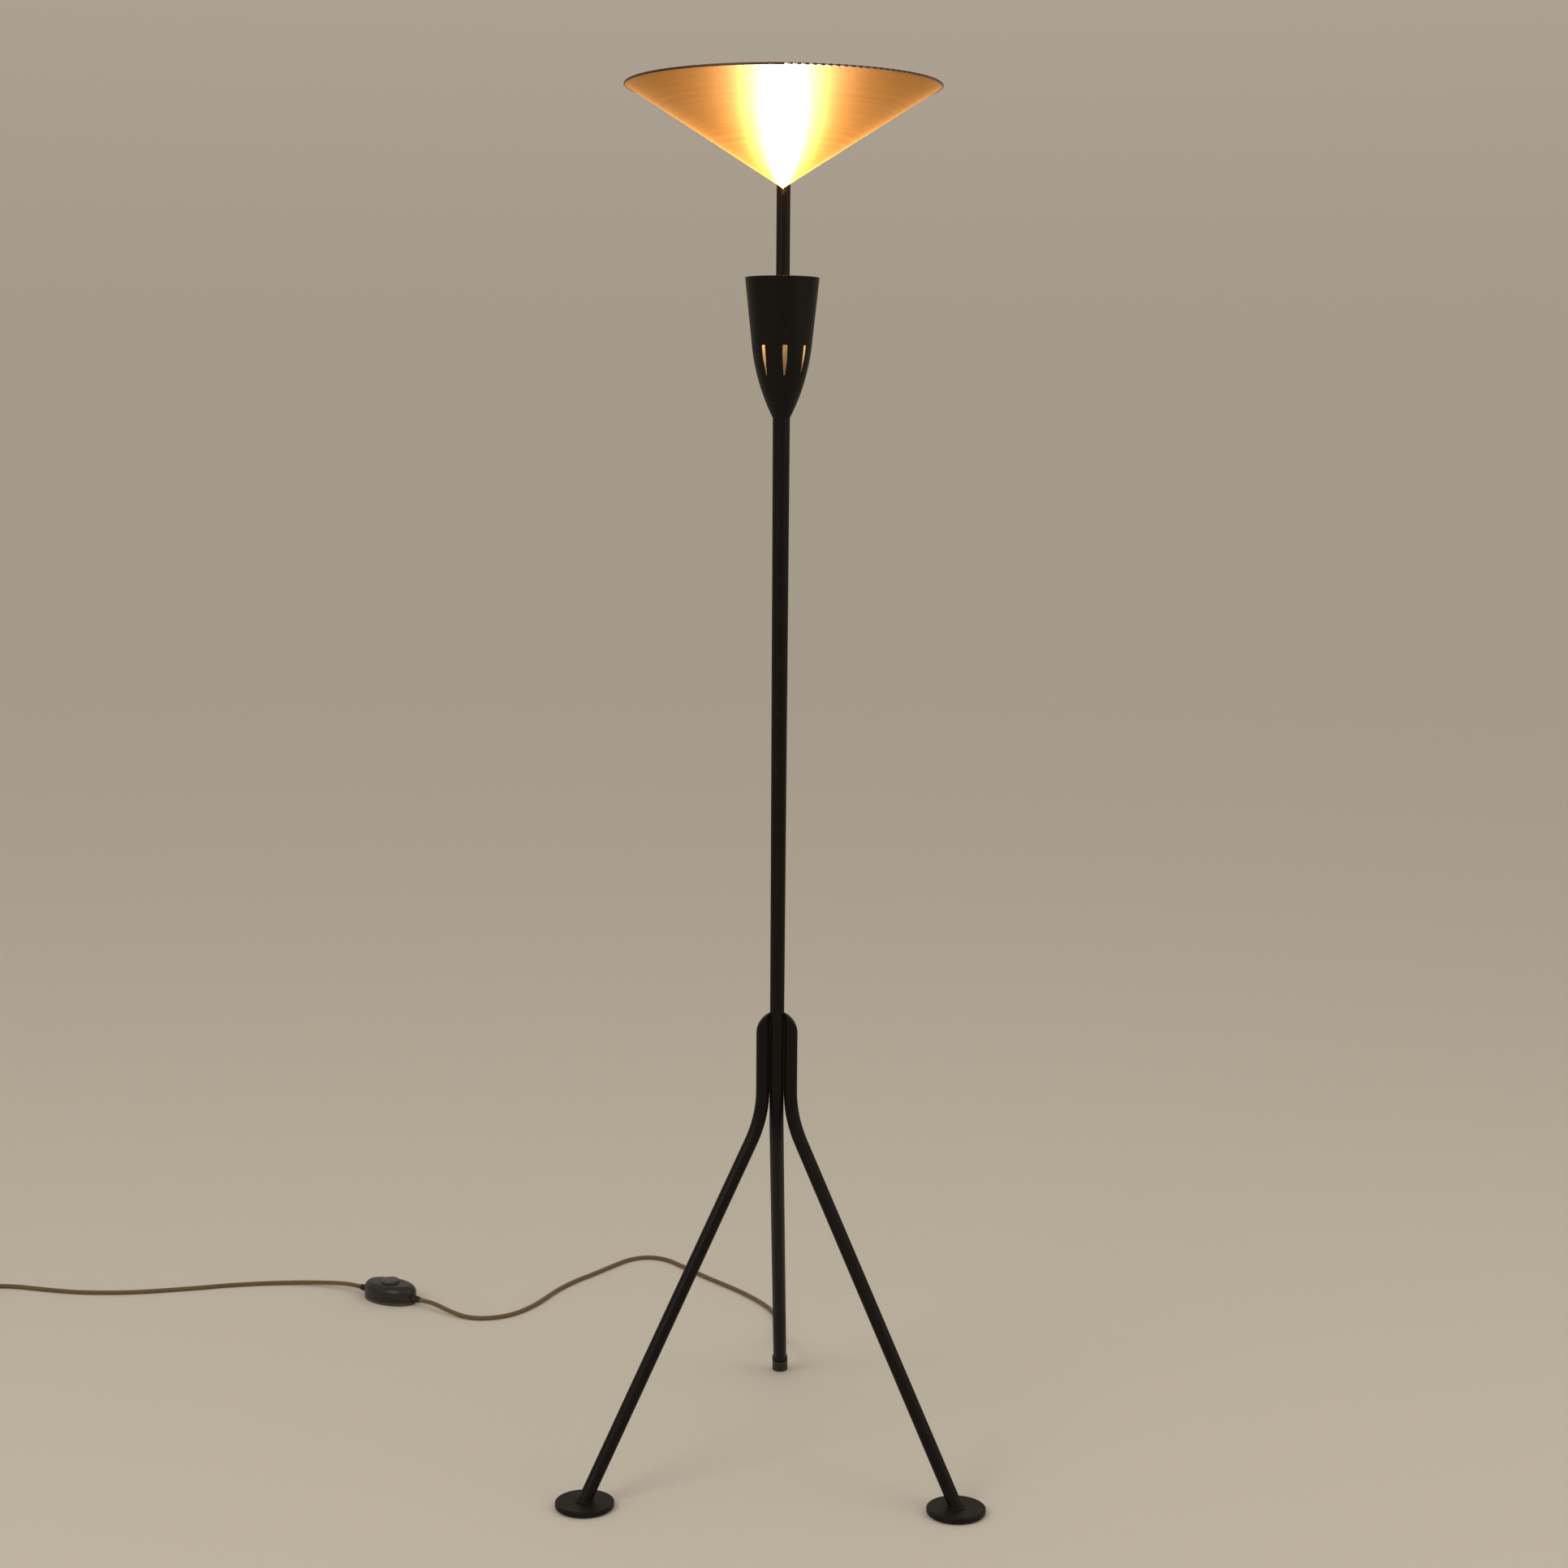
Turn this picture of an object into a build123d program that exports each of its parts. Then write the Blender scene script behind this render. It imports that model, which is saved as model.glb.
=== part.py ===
# Tripod floor lamp: a slotted lamp cup on a tapered pole throws its light up at
# a conical metal reflector, which stands on a stem at the cup's back. The pole
# bends backwards as the rear leg, and two bent tubes welded to its sides are
# the front legs. The mains lead leaves the rear leg, has a foot switch in it
# and ends in a plug.
#
# Millimetres. The front is -Y, up is +Z and the floor is z = 0. The origin is
# under the middle of the box around the lamp without its lead.

from build123d import *
import math
import os

os.makedirs("parts", exist_ok=True)

# ---------------------------------------------------------------- dimensions

# Frame
LEG_R = 8.0
TUBE_WALL = 1.5
POLE_TOP_R = 10.0
POLE_LOW_R = 8.5
TAPER_LOW_Z = 560.0
BEND_Z = 418.0  # where each leg's straight run would meet its upright run
BEND_R = 110.0
FRONT_LEAN = 32.3  # from upright
FRONT_AZIMUTH = 49.3  # from straight ahead
REAR_LEAN = 34.7
BELOW_FLOOR = 30.0  # how far the legs' lines run on, before the legs are cut level
SHOULDER_Z = 520.0  # where the front legs' domed tops begin
SHOULDER_ARC_R = 27.0
LEG_TOP_Z = 548.0  # of a front leg, before its top is cut to a dome
LEG_BORE_TOP_Z = 516.0
SHOULDER_CUT_R = (6.0, 40.0)
SHOULDER_CUT_TOP_Z = 580.0
WELD_LOW_Z = 452.0
WELD_HIGH_Z = 538.0
WELD_GROOVE = [(6.0, 1.9), (11.0, 1.9), (10.4, 3.9), (6.8, 3.9)]  # aside and ahead

# Feet
DISC_R = 34.0
DISC_T = 6.0
PAD_R = 31.0
PAD_T = 2.0
DISC_TOP_ROUND = 1.6
DISC_LOW_ROUND = 0.8
CAP_R = 9.9
CAP_FLOOR_T = 3.0
CAP_SLEEVE = 26.0

# Lamp cup
CUP_Z = 1243.0
CUP_H = 159.0
CUP_BASE_R = 10.1
CUP_SHOULDER_R = 34.5
CUP_SHOULDER_H = 82.5
CUP_RIM_R = 42.7
CUP_WALL = 1.6
CUP_FOOT_THICKER = 1.1  # the wall at the cup's foot, against the rest
CUP_RIM_ROUND = 0.6
SLOT_COUNT = 8
SLOT_TURN = 7.7  # of the slot nearest to the front, towards +X
SLOT_LOW_H = 48.0
SLOT_H = 34.0
SLOT_W = 5.4
SLOT_TIP_W = 1.8
SLOT_TAPER_H = 20.0
SLOT_CORNER_R = 1.5

# Reflector and its stem
CONE_APEX_Z = 1502.0
CONE_H = 115.0
CONE_R = 181.0
SHEET_T = 1.0
BEAD_R = 1.5
SHEET_GAP = 1.0  # from the sheet's edge to the middle of the bead around it
CONE_CUT_R = 70.0
CONE_CUT_TOP_Z = 1600.0
STEM_R = 8.0
STEM_WALL = 1.2
STEM_Y = 27.0  # behind the pole's axis
STEM_LOW_Z = 1347.0
STEM_SCREW_Z = (1362.0, 1388.0)
STEM_INSERT_RISE = 2.0
STEM_INSERT_L = 50.0
SPACER_REACH = 36.0
SPACER_W = 13.0
SPACER_T = 12.0
SPACER_RISE = 4.0
SPACER_L = 46.0
STEM_PLUG_LOW_Z = 1496.0
STEM_HOLE_LOW_Z = 1500.0  # of the hole through the plug, the sheet and the saddle
SADDLE_R = 5.0
SADDLE_LEAST_T = 0.6

# Screws, and the gaps around them
M4_R = 2.0
HEAD_R = 3.8
HEAD_T = 2.4
SOCKET_HALF_W = 1.4
SOCKET_DEPTH = 1.6
STEM_SCREW_L = 13.5
STEM_SCREW_HOLE_L = 15.0
REFLECTOR_SCREW_L = 20.0
CLEAR = 0.1
THROUGH = 60.0  # a cut this long goes right through a wall

# Lamp holder and bulb, heights above the foot of the cup
BOSS_H = 14.0
SPIGOT_H = 25.0
NIPPLE_R = 5.0
NIPPLE_BORE_R = 4.0
NIPPLE_LOW_H = -12.0
NIPPLE_L = 35.6
NIPPLE_CHAMFER = 0.4
WASHER_R = 9.5
WASHER_T = 1.2
LOCKNUT_HALF_W = 7.0
LOCKNUT_T = 4.0
HOLDER_H = 19.4
HOLDER_JOINT_H = 55.0
HOLDER_TOP_H = 84.0
HOLDER_R = 14.0
HOLDER_CAP_R = 13.5
HOLDER_CAP_WALL = 1.6
HOLDER_FLOOR_T = 2.5
HOLDER_SLEEVE_WALL = 1.9
HOLDER_LIP_T = 1.5
HOLDER_MOUTH_R = 9.0
INSERT_H = 46.0
INSERT_T = 13.0
INSERT_R = 11.8
INSERT_HOLE_R = 1.5
SHELL_R = 7.7
SHELL_BORE_R = 7.2
SHELL_L = 22.0
SHELL_FLANGE_R = 10.5
SHELL_FLANGE_T = 0.8
CONTACT_R = 2.2
CONTACT_T = 2.5
CONTACT_SINK = 4.0
TERMINAL_X = 7.0
TERMINAL_R = 2.4
TERMINAL_T = 1.8
BULB_R = 14.0
BULB_CAP_R = 6.9
BULB_CAP_LOW_H = 64.0
BULB_CAP_H = 81.0
BULB_TOP_H = 142.0
CAP_TIP_DROP = 2.4
BULB_NECK_R = 6.6
BULB_NECK_L = 4.0
BULB_FLARE_L = 16.0
GLASS_T = 0.8
MOUNT_R = 2.6
MOUNT_L = 14.0
MOUNT_ROD_R = 1.2
MOUNT_ROD_L = 42.0
FILAMENT_COUNT = 4
FILAMENT_RISE = 18.0
FILAMENT_RING_R = 5.5
FILAMENT_R = 0.9
FILAMENT_L = 36.0

# Lead
CORD_R = 3.0
GLAND_Z = 45.0
GLAND_L = 24.0
GLAND_R = 6.4
GLAND_HOLE_R = 5.2
GLAND_SHANK_L = 15.0
GLAND_START = 4.0  # behind the rear leg's line
GLAND_STRAIGHT = 19.0  # how far the lead runs straight on
BOOT_LIP = 0.9  # the wall of a boot at its thin end
CABLE_IN_HOLDER = 4.0
CABLE_BELOW_GLAND = 6.0
CORE_R = 0.8
CORE_LOW_X = 1.4
CORE_LOW_RISE = 5.2
CORE_TOP_X = 5.4
CORE_TOP_DROP = 2.7
REAR_CUT_L = 250.0  # along the rear leg, from below the floor to past the gland
ARC_SHARE = 0.45  # of a run between two corners, used by the arc at each

# Foot switch
SWITCH_ENTRY = (-514.0, 466.0)
SWITCH_HEADING = 150.0
SWITCH_L = 84.0
SWITCH_W = 52.0
SWITCH_BASE_T = 4.0
SWITCH_H = 26.0
SWITCH_WALL = 2.0
SWITCH_TOP_ROUND = 11.0
SWITCH_ROOM_ROUND = 9.0
SWITCH_BOOT_L = 12.0
SWITCH_BOOT_R = 5.4
BOOT_SHANK_R = 4.0
BOOT_SHANK_L = 5.0
ENTRY_Z = 9.0
ENTRY_DEPTH = 6.0
BUTTON_R = 13.0
BUTTON_GAP = 0.35
BUTTON_TOP_Z = 30.0
BUTTON_ROUND = 2.5
BUTTON_FLANGE_W = 1.2
BUTTON_FLANGE_T = 2.2
BUTTON_HOLE_LOW_Z = 10.0
SPRING_SEAT_R = 6.5
SPRING_SEAT_DEPTH = 1.2
SPRING_LOW_Z = 13.0
SPRING_TOP_Z = 21.4
SPRING_R = 5.0
SPRING_WIRE_R = 0.5
SPRING_TURNS = 4
MECHANISM_SIZE = (24.0, 15.0)
MECHANISM_CHAMFER = 0.6
SWITCH_TERMINAL_X = 19.0
SWITCH_TERMINAL_SIZE = (6.0, 10.0, 5.0)
SWITCH_SCREW_X = 29.0
SWITCH_SCREW_R = 1.2
SWITCH_SCREW_L = 14.0
SWITCH_SCREW_PASS_R = 1.7
SWITCH_HEAD_R = 2.9
SWITCH_HEAD_T = 1.6
SWITCH_RECESS_R = 3.2
SWITCH_RECESS_T = 2.0
SWITCH_POST_R = 3.6
SWITCH_POST_L = 20.5
SWITCH_POST_BORE_L = 11.0

# Coil of spare lead, and the plug
COIL_CENTRE = (-1172.0, 478.0)
COIL_MID_R = 33.0
COIL_OUT_R = 35.5  # where the lead leaves the turns
COIL_LAYER_RISE = 5.4  # of the turns that lie on the lowest ones
COIL_ROUND = 1.5
COIL_STUB = 34.0
PLUG_Z = 7.0
PLUG_BOOT_L = 22.0
PLUG_BOOT_R = 5.6
PLUG_L = 36.0
PLUG_W = 35.0
PLUG_BACK_W = 16.0
PLUG_FACE_W = 28.0
PLUG_SIDE_Y = (14.0, 22.0)  # where its straight sides begin and end
PLUG_CORNER_R = 3.0
PLUG_EDGE_R = 2.4
PLUG_T = 14.0
PIN_R = 2.0
PIN_CORE_R = 1.5
PIN_L = 19.0
PIN_PITCH = 19.0
PIN_SLEEVE_L = 10.0
PIN_TIP_ROUND = 1.2

# The lead's route, chosen by hand: from the gland to the switch
ROUTE_TO_SWITCH = [
    (-1, 294, 33),
    (-2, 325, 14),
    (-4, 358, 4.5),
    (-6, 400, 3),
    (-12, 447, 3),
    (-28, 487, 3),
    (-63, 540, 3),
    (-100, 583, 3),
    (-129, 618, 3),
    (-158, 656, 3),
    (-181, 684, 3),
    (-208, 694, 3),
    (-235, 682, 3),
    (-257, 650, 3),
    (-281, 612, 3),
    (-309, 573, 3),
    (-331, 528, 3),
    (-349, 474, 3),
    (-375, 430, 3),
    (-406, 411, 3),
    (-440, 412, 3),
    (-467, 431, 5.5),
    (-493.2, 454, 9),
]
# ... and from the switch to the coil
ROUTE_TO_COIL = [
    (-630, 533, 9),
    (-668, 547, 5.5),
    (-720, 552, 3),
    (-790, 540, 3),
    (-862, 516, 3),
    (-935, 497, 3),
    (-1005, 494, 3),
    (-1060, 505, 3),
    (-1105, 516.9, 3.1),
]

# ---------------------------------------------------------- worked-out places

FOOT_TOP_Z = PAD_T + DISC_T
LEG_X = POLE_LOW_R + LEG_R
FRONT_RUN = (BEND_Z - FOOT_TOP_Z) * math.tan(math.radians(FRONT_LEAN))
FOOT_X = LEG_X + FRONT_RUN * math.sin(math.radians(FRONT_AZIMUTH))
FOOT_AHEAD = FRONT_RUN * math.cos(math.radians(FRONT_AZIMUTH))
REAR_REACH = BEND_Z * math.tan(math.radians(REAR_LEAN))
CAP_REACH = CAP_R / math.cos(math.radians(REAR_LEAN))
AXIS_Y = (FOOT_AHEAD + DISC_R - REAR_REACH - CAP_REACH) / 2
SECTION = Plane(origin=(0, AXIS_Y, 0), x_dir=(1, 0, 0), z_dir=(0, -1, 0))
POLE_AXIS = Axis((0, AXIS_Y, 0), (0, 0, 1))
CUP_SECTION = Plane(origin=(0, AXIS_Y, CUP_Z), x_dir=(1, 0, 0), z_dir=(0, -1, 0))
CONE_SLOPE = CONE_H / CONE_R
CONE_RISE = SHEET_T * math.sqrt(1 + CONE_SLOPE**2)
WALL_TILT = math.atan((CUP_RIM_R - CUP_SHOULDER_R) / (CUP_H - CUP_SHOULDER_H))
WALL_ACROSS = CUP_WALL / math.cos(WALL_TILT)
STEM_CENTRE = (0, AXIS_Y + STEM_Y)


def rear_leg_y(z):
    return AXIS_Y + (BEND_Z - z) * math.tan(math.radians(REAR_LEAN))


def at(x, y, z):
    return Plane(origin=(x, y, z))


def save(builder, label):
    builder.part.label = label
    export_step(builder.part, f"parts/{label}.step")


def outline(plane, points):
    with BuildSketch(plane) as shape:
        with BuildLine():
            Polyline(*points, close=True)
        make_face()
    return shape.sketch


def ring(plane, outer, inner):
    with BuildSketch(plane) as shape:
        Circle(outer)
        Circle(inner, mode=Mode.SUBTRACT)
    return shape.sketch


def disc(plane, radius):
    with BuildSketch(plane) as shape:
        Circle(radius)
    return shape.sketch


def start_plane(path):
    return Plane(origin=path @ 0, z_dir=path % 0)


# ------------------------------------------------------------------- the pole

with BuildLine() as pole_path:
    FilletPolyline(
        (0, AXIS_Y, TAPER_LOW_Z),
        (0, AXIS_Y, BEND_Z),
        (0, rear_leg_y(-BELOW_FLOOR), -BELOW_FLOOR),
        radius=BEND_R,
    )
REAR_PLANE = Plane(origin=pole_path.line @ 1, z_dir=-(pole_path.line % 1))
REAR_PLANE_TO_FLOOR = BELOW_FLOOR / math.cos(math.radians(REAR_LEAN))

with BuildPart() as pole:
    TAPER = [
        (POLE_LOW_R - TUBE_WALL, TAPER_LOW_Z),
        (POLE_LOW_R, TAPER_LOW_Z),
        (POLE_TOP_R, CUP_Z),
        (POLE_TOP_R - TUBE_WALL, CUP_Z),
    ]
    revolve(outline(SECTION, TAPER), axis=POLE_AXIS)
    sweep(
        ring(start_plane(pole_path.line), POLE_LOW_R, POLE_LOW_R - TUBE_WALL),
        path=pole_path.line,
    )
    split(bisect_by=Plane.XY.offset(CAP_FLOOR_T), keep=Keep.TOP)
    GLAND_HOLE = Plane(origin=(0, rear_leg_y(GLAND_Z), GLAND_Z), z_dir=(0, 1, 0))
    extrude(disc(GLAND_HOLE, GLAND_HOLE_R), amount=THROUGH, mode=Mode.SUBTRACT)
save(pole, "pole")

with BuildPart() as rear_foot_cap:
    extrude(disc(REAR_PLANE, CAP_R), amount=REAR_PLANE_TO_FLOOR + CAP_SLEEVE)
    extrude(disc(REAR_PLANE, POLE_LOW_R), amount=REAR_CUT_L, mode=Mode.SUBTRACT)
    split(bisect_by=Plane.XY, keep=Keep.TOP)
    CAP_FLOOR = Plane(origin=(0, rear_leg_y(0), 0))
    with BuildSketch(CAP_FLOOR):
        Ellipse(CAP_R, CAP_REACH)
    extrude(amount=CAP_FLOOR_T, dir=REAR_PLANE.z_dir)
    split(bisect_by=Plane.XY, keep=Keep.TOP)
save(rear_foot_cap, "rear_foot_cap")

# ------------------------------------------------------------- the front legs


def shoulder_waste():
    """The space above the front legs' domed tops, for turning about the pole."""
    inner_r, outer_r = SHOULDER_CUT_R
    top_z = SHOULDER_CUT_TOP_Z
    centre_r = LEG_X + LEG_R - SHOULDER_ARC_R
    sweep_angle = math.degrees(math.acos((inner_r - centre_r) / SHOULDER_ARC_R))
    with BuildSketch(SECTION) as shape:
        with BuildLine():
            dome = CenterArc((centre_r, SHOULDER_Z), SHOULDER_ARC_R, 0, sweep_angle)
            Polyline(dome @ 1, (inner_r, top_z), (outer_r, top_z), (outer_r, SHOULDER_Z), dome @ 0)
        make_face()
    return shape.sketch


for side, side_name in ((-1, "left"), (1, "right")):
    AHEAD = math.cos(math.radians(FRONT_AZIMUTH)) * math.tan(math.radians(FRONT_LEAN))
    ASIDE = math.sin(math.radians(FRONT_AZIMUTH)) * math.tan(math.radians(FRONT_LEAN))
    END_DROP = BEND_Z + BELOW_FLOOR
    LEG_BEND = (side * LEG_X, AXIS_Y, BEND_Z)
    LEG_END = (side * (LEG_X + ASIDE * END_DROP), AXIS_Y - AHEAD * END_DROP, -BELOW_FLOOR)
    with BuildLine() as leg_path:
        FilletPolyline((side * LEG_X, AXIS_Y, LEG_TOP_Z), LEG_BEND, LEG_END, radius=BEND_R)
    with BuildLine() as bore_path:
        FilletPolyline((side * LEG_X, AXIS_Y, LEG_BORE_TOP_Z), LEG_BEND, LEG_END, radius=BEND_R)
    with BuildPart() as leg:
        sweep(disc(start_plane(leg_path.line), LEG_R), path=leg_path.line)
        sweep(
            disc(start_plane(bore_path.line), LEG_R - TUBE_WALL),
            path=bore_path.line,
            mode=Mode.SUBTRACT,
        )
        split(bisect_by=Plane.XY.offset(FOOT_TOP_Z), keep=Keep.TOP)
        revolve(shoulder_waste(), axis=POLE_AXIS, mode=Mode.SUBTRACT)
    save(leg, f"front_leg_{side_name}")

    FOOT = (side * FOOT_X, AXIS_Y - FOOT_AHEAD)
    with BuildPart() as foot_disc:
        extrude(disc(at(*FOOT, PAD_T), DISC_R), amount=DISC_T)
        fillet(foot_disc.edges().group_by(Axis.Z)[-1], radius=DISC_TOP_ROUND)
        fillet(foot_disc.edges().group_by(Axis.Z)[0], radius=DISC_LOW_ROUND)
    save(foot_disc, f"foot_disc_{side_name}")

    with BuildPart() as foot_pad:
        extrude(disc(at(*FOOT, 0), PAD_R), amount=PAD_T)
    save(foot_pad, f"foot_pad_{side_name}")

# Beads of weld in the grooves between the pole and the front legs
with BuildPart() as collar_welds:
    for side in (-1, 1):
        for face in (-1, 1):
            bead = [(side * x, face * y) for x, y in WELD_GROOVE]
            with BuildSketch(at(0, AXIS_Y, WELD_LOW_Z)) as groove:
                with BuildLine():
                    Polyline(*bead, close=True)
                make_face()
                Circle(POLE_LOW_R, mode=Mode.SUBTRACT)
                with Locations((side * LEG_X, 0)):
                    Circle(LEG_R, mode=Mode.SUBTRACT)
            extrude(amount=WELD_HIGH_Z - WELD_LOW_Z)
save(collar_welds, "collar_welds")

# --------------------------------------------------------------- the lamp cup


def cup_region(step_in):
    """From the axis to the cup's outer wall, or to its inner wall when stepped in."""
    base_r = CUP_BASE_R - CUP_FOOT_THICKER * step_in
    shoulder = (CUP_SHOULDER_R - step_in, CUP_SHOULDER_H)
    rim = (CUP_RIM_R - step_in, CUP_H)
    down = (shoulder[0] - rim[0], shoulder[1] - rim[1])
    with BuildSketch(CUP_SECTION) as shape:
        with BuildLine():
            Line(rim, shoulder)
            TangentArc(shoulder, (base_r, 0), tangent=down)
            Polyline((base_r, 0), (0, 0), (0, CUP_H), rim)
        make_face()
    return shape.sketch


def wall_plane(z):
    """On the cup's outer wall at the back, facing out of it."""
    wall_r = CUP_RIM_R - (CUP_Z + CUP_H - z) * math.tan(WALL_TILT)
    tilt = (0, math.cos(WALL_TILT), -math.sin(WALL_TILT))
    return Plane(origin=(0, AXIS_Y + wall_r, z), x_dir=(1, 0, 0), z_dir=tilt)


with BuildPart() as lamp_cup:
    revolve(cup_region(0), axis=POLE_AXIS)
    revolve(cup_region(WALL_ACROSS), axis=POLE_AXIS, mode=Mode.SUBTRACT)
    fillet(lamp_cup.edges().group_by(Axis.Z)[-1], radius=CUP_RIM_ROUND)
    half, tip = SLOT_W / 2, SLOT_TIP_W / 2
    for index in range(SLOT_COUNT):
        turn = math.radians(SLOT_TURN + index * 360 / SLOT_COUNT)
        OUTWARD = (math.sin(turn), -math.cos(turn), 0)
        ACROSS = (math.cos(turn), math.sin(turn), 0)
        slot_plane = Plane(
            origin=(0, AXIS_Y, CUP_Z + SLOT_LOW_H), x_dir=ACROSS, z_dir=OUTWARD
        )
        with BuildSketch(slot_plane) as slot:
            with BuildLine():
                Polyline(
                    (-tip, 0), (-half, SLOT_TAPER_H), (-half, SLOT_H),
                    (half, SLOT_H), (half, SLOT_TAPER_H), (tip, 0), close=True,
                )
            make_face()
            fillet(slot.vertices().group_by(Axis.Y)[-1], radius=SLOT_CORNER_R)
        extrude(amount=THROUGH, mode=Mode.SUBTRACT)
    for z in STEM_SCREW_Z:
        extrude(disc(wall_plane(z), M4_R + CLEAR), amount=-STEM_SCREW_HOLE_L, mode=Mode.SUBTRACT)
save(lamp_cup, "lamp_cup")

with BuildPart() as cup_boss:
    extrude(disc(at(0, AXIS_Y, CUP_Z), CUP_SHOULDER_R), amount=BOSS_H)
    revolve(cup_region(WALL_ACROSS), axis=POLE_AXIS, mode=Mode.INTERSECT)
    extrude(disc(at(0, AXIS_Y, CUP_Z), POLE_TOP_R - TUBE_WALL - CLEAR), amount=-SPIGOT_H)
    NIPPLE_HOLE = disc(at(0, AXIS_Y, CUP_Z), NIPPLE_R + CLEAR)
    extrude(NIPPLE_HOLE, amount=THROUGH, both=True, mode=Mode.SUBTRACT)
save(cup_boss, "cup_boss")

with BuildPart() as nipple:
    extrude(ring(at(0, AXIS_Y, CUP_Z + NIPPLE_LOW_H), NIPPLE_R, NIPPLE_BORE_R), amount=NIPPLE_L)
    top_edges = nipple.edges().filter_by(GeomType.CIRCLE).group_by(Axis.Z)[-1]
    chamfer(top_edges, length=NIPPLE_CHAMFER)
save(nipple, "threaded_nipple")

with BuildPart() as boss_washer:
    WASHER_LOW = at(0, AXIS_Y, CUP_Z + BOSS_H)
    extrude(ring(WASHER_LOW, WASHER_R, NIPPLE_R + 2 * CLEAR), amount=WASHER_T)
save(boss_washer, "nipple_washer")

with BuildPart() as locknut:
    with BuildSketch(WASHER_LOW.offset(WASHER_T)):
        RegularPolygon(radius=LOCKNUT_HALF_W, side_count=6, major_radius=False)
        Circle(NIPPLE_R + CLEAR, mode=Mode.SUBTRACT)
    extrude(amount=LOCKNUT_T)
save(locknut, "nipple_locknut")

# -------------------------------------------------------- lamp holder and bulb

HOLDER_LOW = at(0, AXIS_Y, CUP_Z + HOLDER_H)
HOLDER_JOINT = at(0, AXIS_Y, CUP_Z + HOLDER_JOINT_H)
HOLDER_LIP_LOW = at(0, AXIS_Y, CUP_Z + HOLDER_TOP_H - HOLDER_LIP_T)
with BuildPart() as holder_cap:
    extrude(disc(HOLDER_LOW, HOLDER_CAP_R), amount=HOLDER_JOINT_H - HOLDER_H)
    fillet(holder_cap.edges().group_by(Axis.Z)[0], radius=2)
    HOLDER_ROOM = disc(HOLDER_LOW.offset(HOLDER_FLOOR_T), HOLDER_CAP_R - HOLDER_CAP_WALL)
    extrude(HOLDER_ROOM, amount=THROUGH, mode=Mode.SUBTRACT)
    extrude(disc(HOLDER_LOW, NIPPLE_R + CLEAR), amount=THROUGH, mode=Mode.SUBTRACT)
save(holder_cap, "holder_cap")

with BuildPart() as holder_sleeve:
    extrude(disc(HOLDER_JOINT, HOLDER_R), amount=HOLDER_TOP_H - HOLDER_JOINT_H)
    fillet(holder_sleeve.edges().group_by(Axis.Z)[-1], radius=1)
    SLEEVE_ROOM = disc(HOLDER_LIP_LOW, HOLDER_R - HOLDER_SLEEVE_WALL)
    extrude(SLEEVE_ROOM, amount=-THROUGH, mode=Mode.SUBTRACT)
    extrude(disc(HOLDER_JOINT, HOLDER_MOUTH_R), amount=THROUGH, mode=Mode.SUBTRACT)
save(holder_sleeve, "holder_sleeve")

with BuildPart() as holder_insert:
    INSERT_LOW = at(0, AXIS_Y, CUP_Z + INSERT_H)
    INSERT_TOP = at(0, AXIS_Y, CUP_Z + INSERT_H + INSERT_T)
    extrude(ring(INSERT_LOW, INSERT_R, INSERT_HOLE_R), amount=INSERT_T)
save(holder_insert, "holder_insert")

with BuildPart() as screw_shell:
    extrude(ring(INSERT_TOP, SHELL_FLANGE_R, SHELL_BORE_R), amount=SHELL_FLANGE_T)
    extrude(ring(INSERT_TOP, SHELL_R, SHELL_BORE_R), amount=SHELL_L)
save(screw_shell, "screw_shell")

with BuildPart() as centre_contact:
    CONTACT_LOW = INSERT_LOW.offset(CONTACT_SINK)
    extrude(disc(CONTACT_LOW, INSERT_HOLE_R - CLEAR), amount=INSERT_T - CONTACT_SINK)
    extrude(disc(INSERT_TOP, CONTACT_R), amount=CONTACT_T)
save(centre_contact, "centre_contact")

with BuildPart() as terminal_screws:
    for side in (-1, 1):
        with BuildSketch(INSERT_LOW):
            with Locations((side * TERMINAL_X, 0)):
                Circle(TERMINAL_R)
        extrude(amount=-TERMINAL_T)
save(terminal_screws, "terminal_screws")

with BuildPart() as bulb_cap:
    CAP_LOW = at(0, AXIS_Y, CUP_Z + BULB_CAP_LOW_H)
    extrude(disc(CAP_LOW, BULB_CAP_R), amount=BULB_CAP_H - BULB_CAP_LOW_H)
    with BuildSketch(CAP_LOW):
        Circle(BULB_CAP_R)
    with BuildSketch(CAP_LOW.offset(-CAP_TIP_DROP)):
        Circle(CONTACT_R)
    loft()
save(bulb_cap, "bulb_cap")


def bulb_region(step_in):
    """Half of the bulb's section: a neck, a straight wall and a round top."""
    body_r = BULB_R - step_in
    neck_r = BULB_NECK_R - step_in
    low = BULB_CAP_H + step_in
    neck_top = (neck_r, BULB_CAP_H + BULB_NECK_L)
    flare_top = (body_r, BULB_CAP_H + BULB_FLARE_L)
    with BuildSketch(CUP_SECTION) as shape:
        with BuildLine():
            Polyline((0, low), (neck_r, low), neck_top)
            Polyline(neck_top, flare_top, (body_r, BULB_TOP_H - BULB_R))
            dome = CenterArc((0, BULB_TOP_H - BULB_R), body_r, 0, 90)
            Line(dome @ 1, (0, low))
        make_face()
    return shape.sketch


with BuildPart() as bulb_glass:
    revolve(bulb_region(0), axis=POLE_AXIS)
    revolve(bulb_region(GLASS_T), axis=POLE_AXIS, mode=Mode.SUBTRACT)
save(bulb_glass, "bulb_glass")

with BuildPart() as bulb_filaments:
    with BuildSketch(at(0, AXIS_Y, CUP_Z + BULB_CAP_H + FILAMENT_RISE)):
        with PolarLocations(FILAMENT_RING_R, FILAMENT_COUNT, start_angle=45):
            Circle(FILAMENT_R)
    extrude(amount=FILAMENT_L)
save(bulb_filaments, "bulb_filaments")

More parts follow.
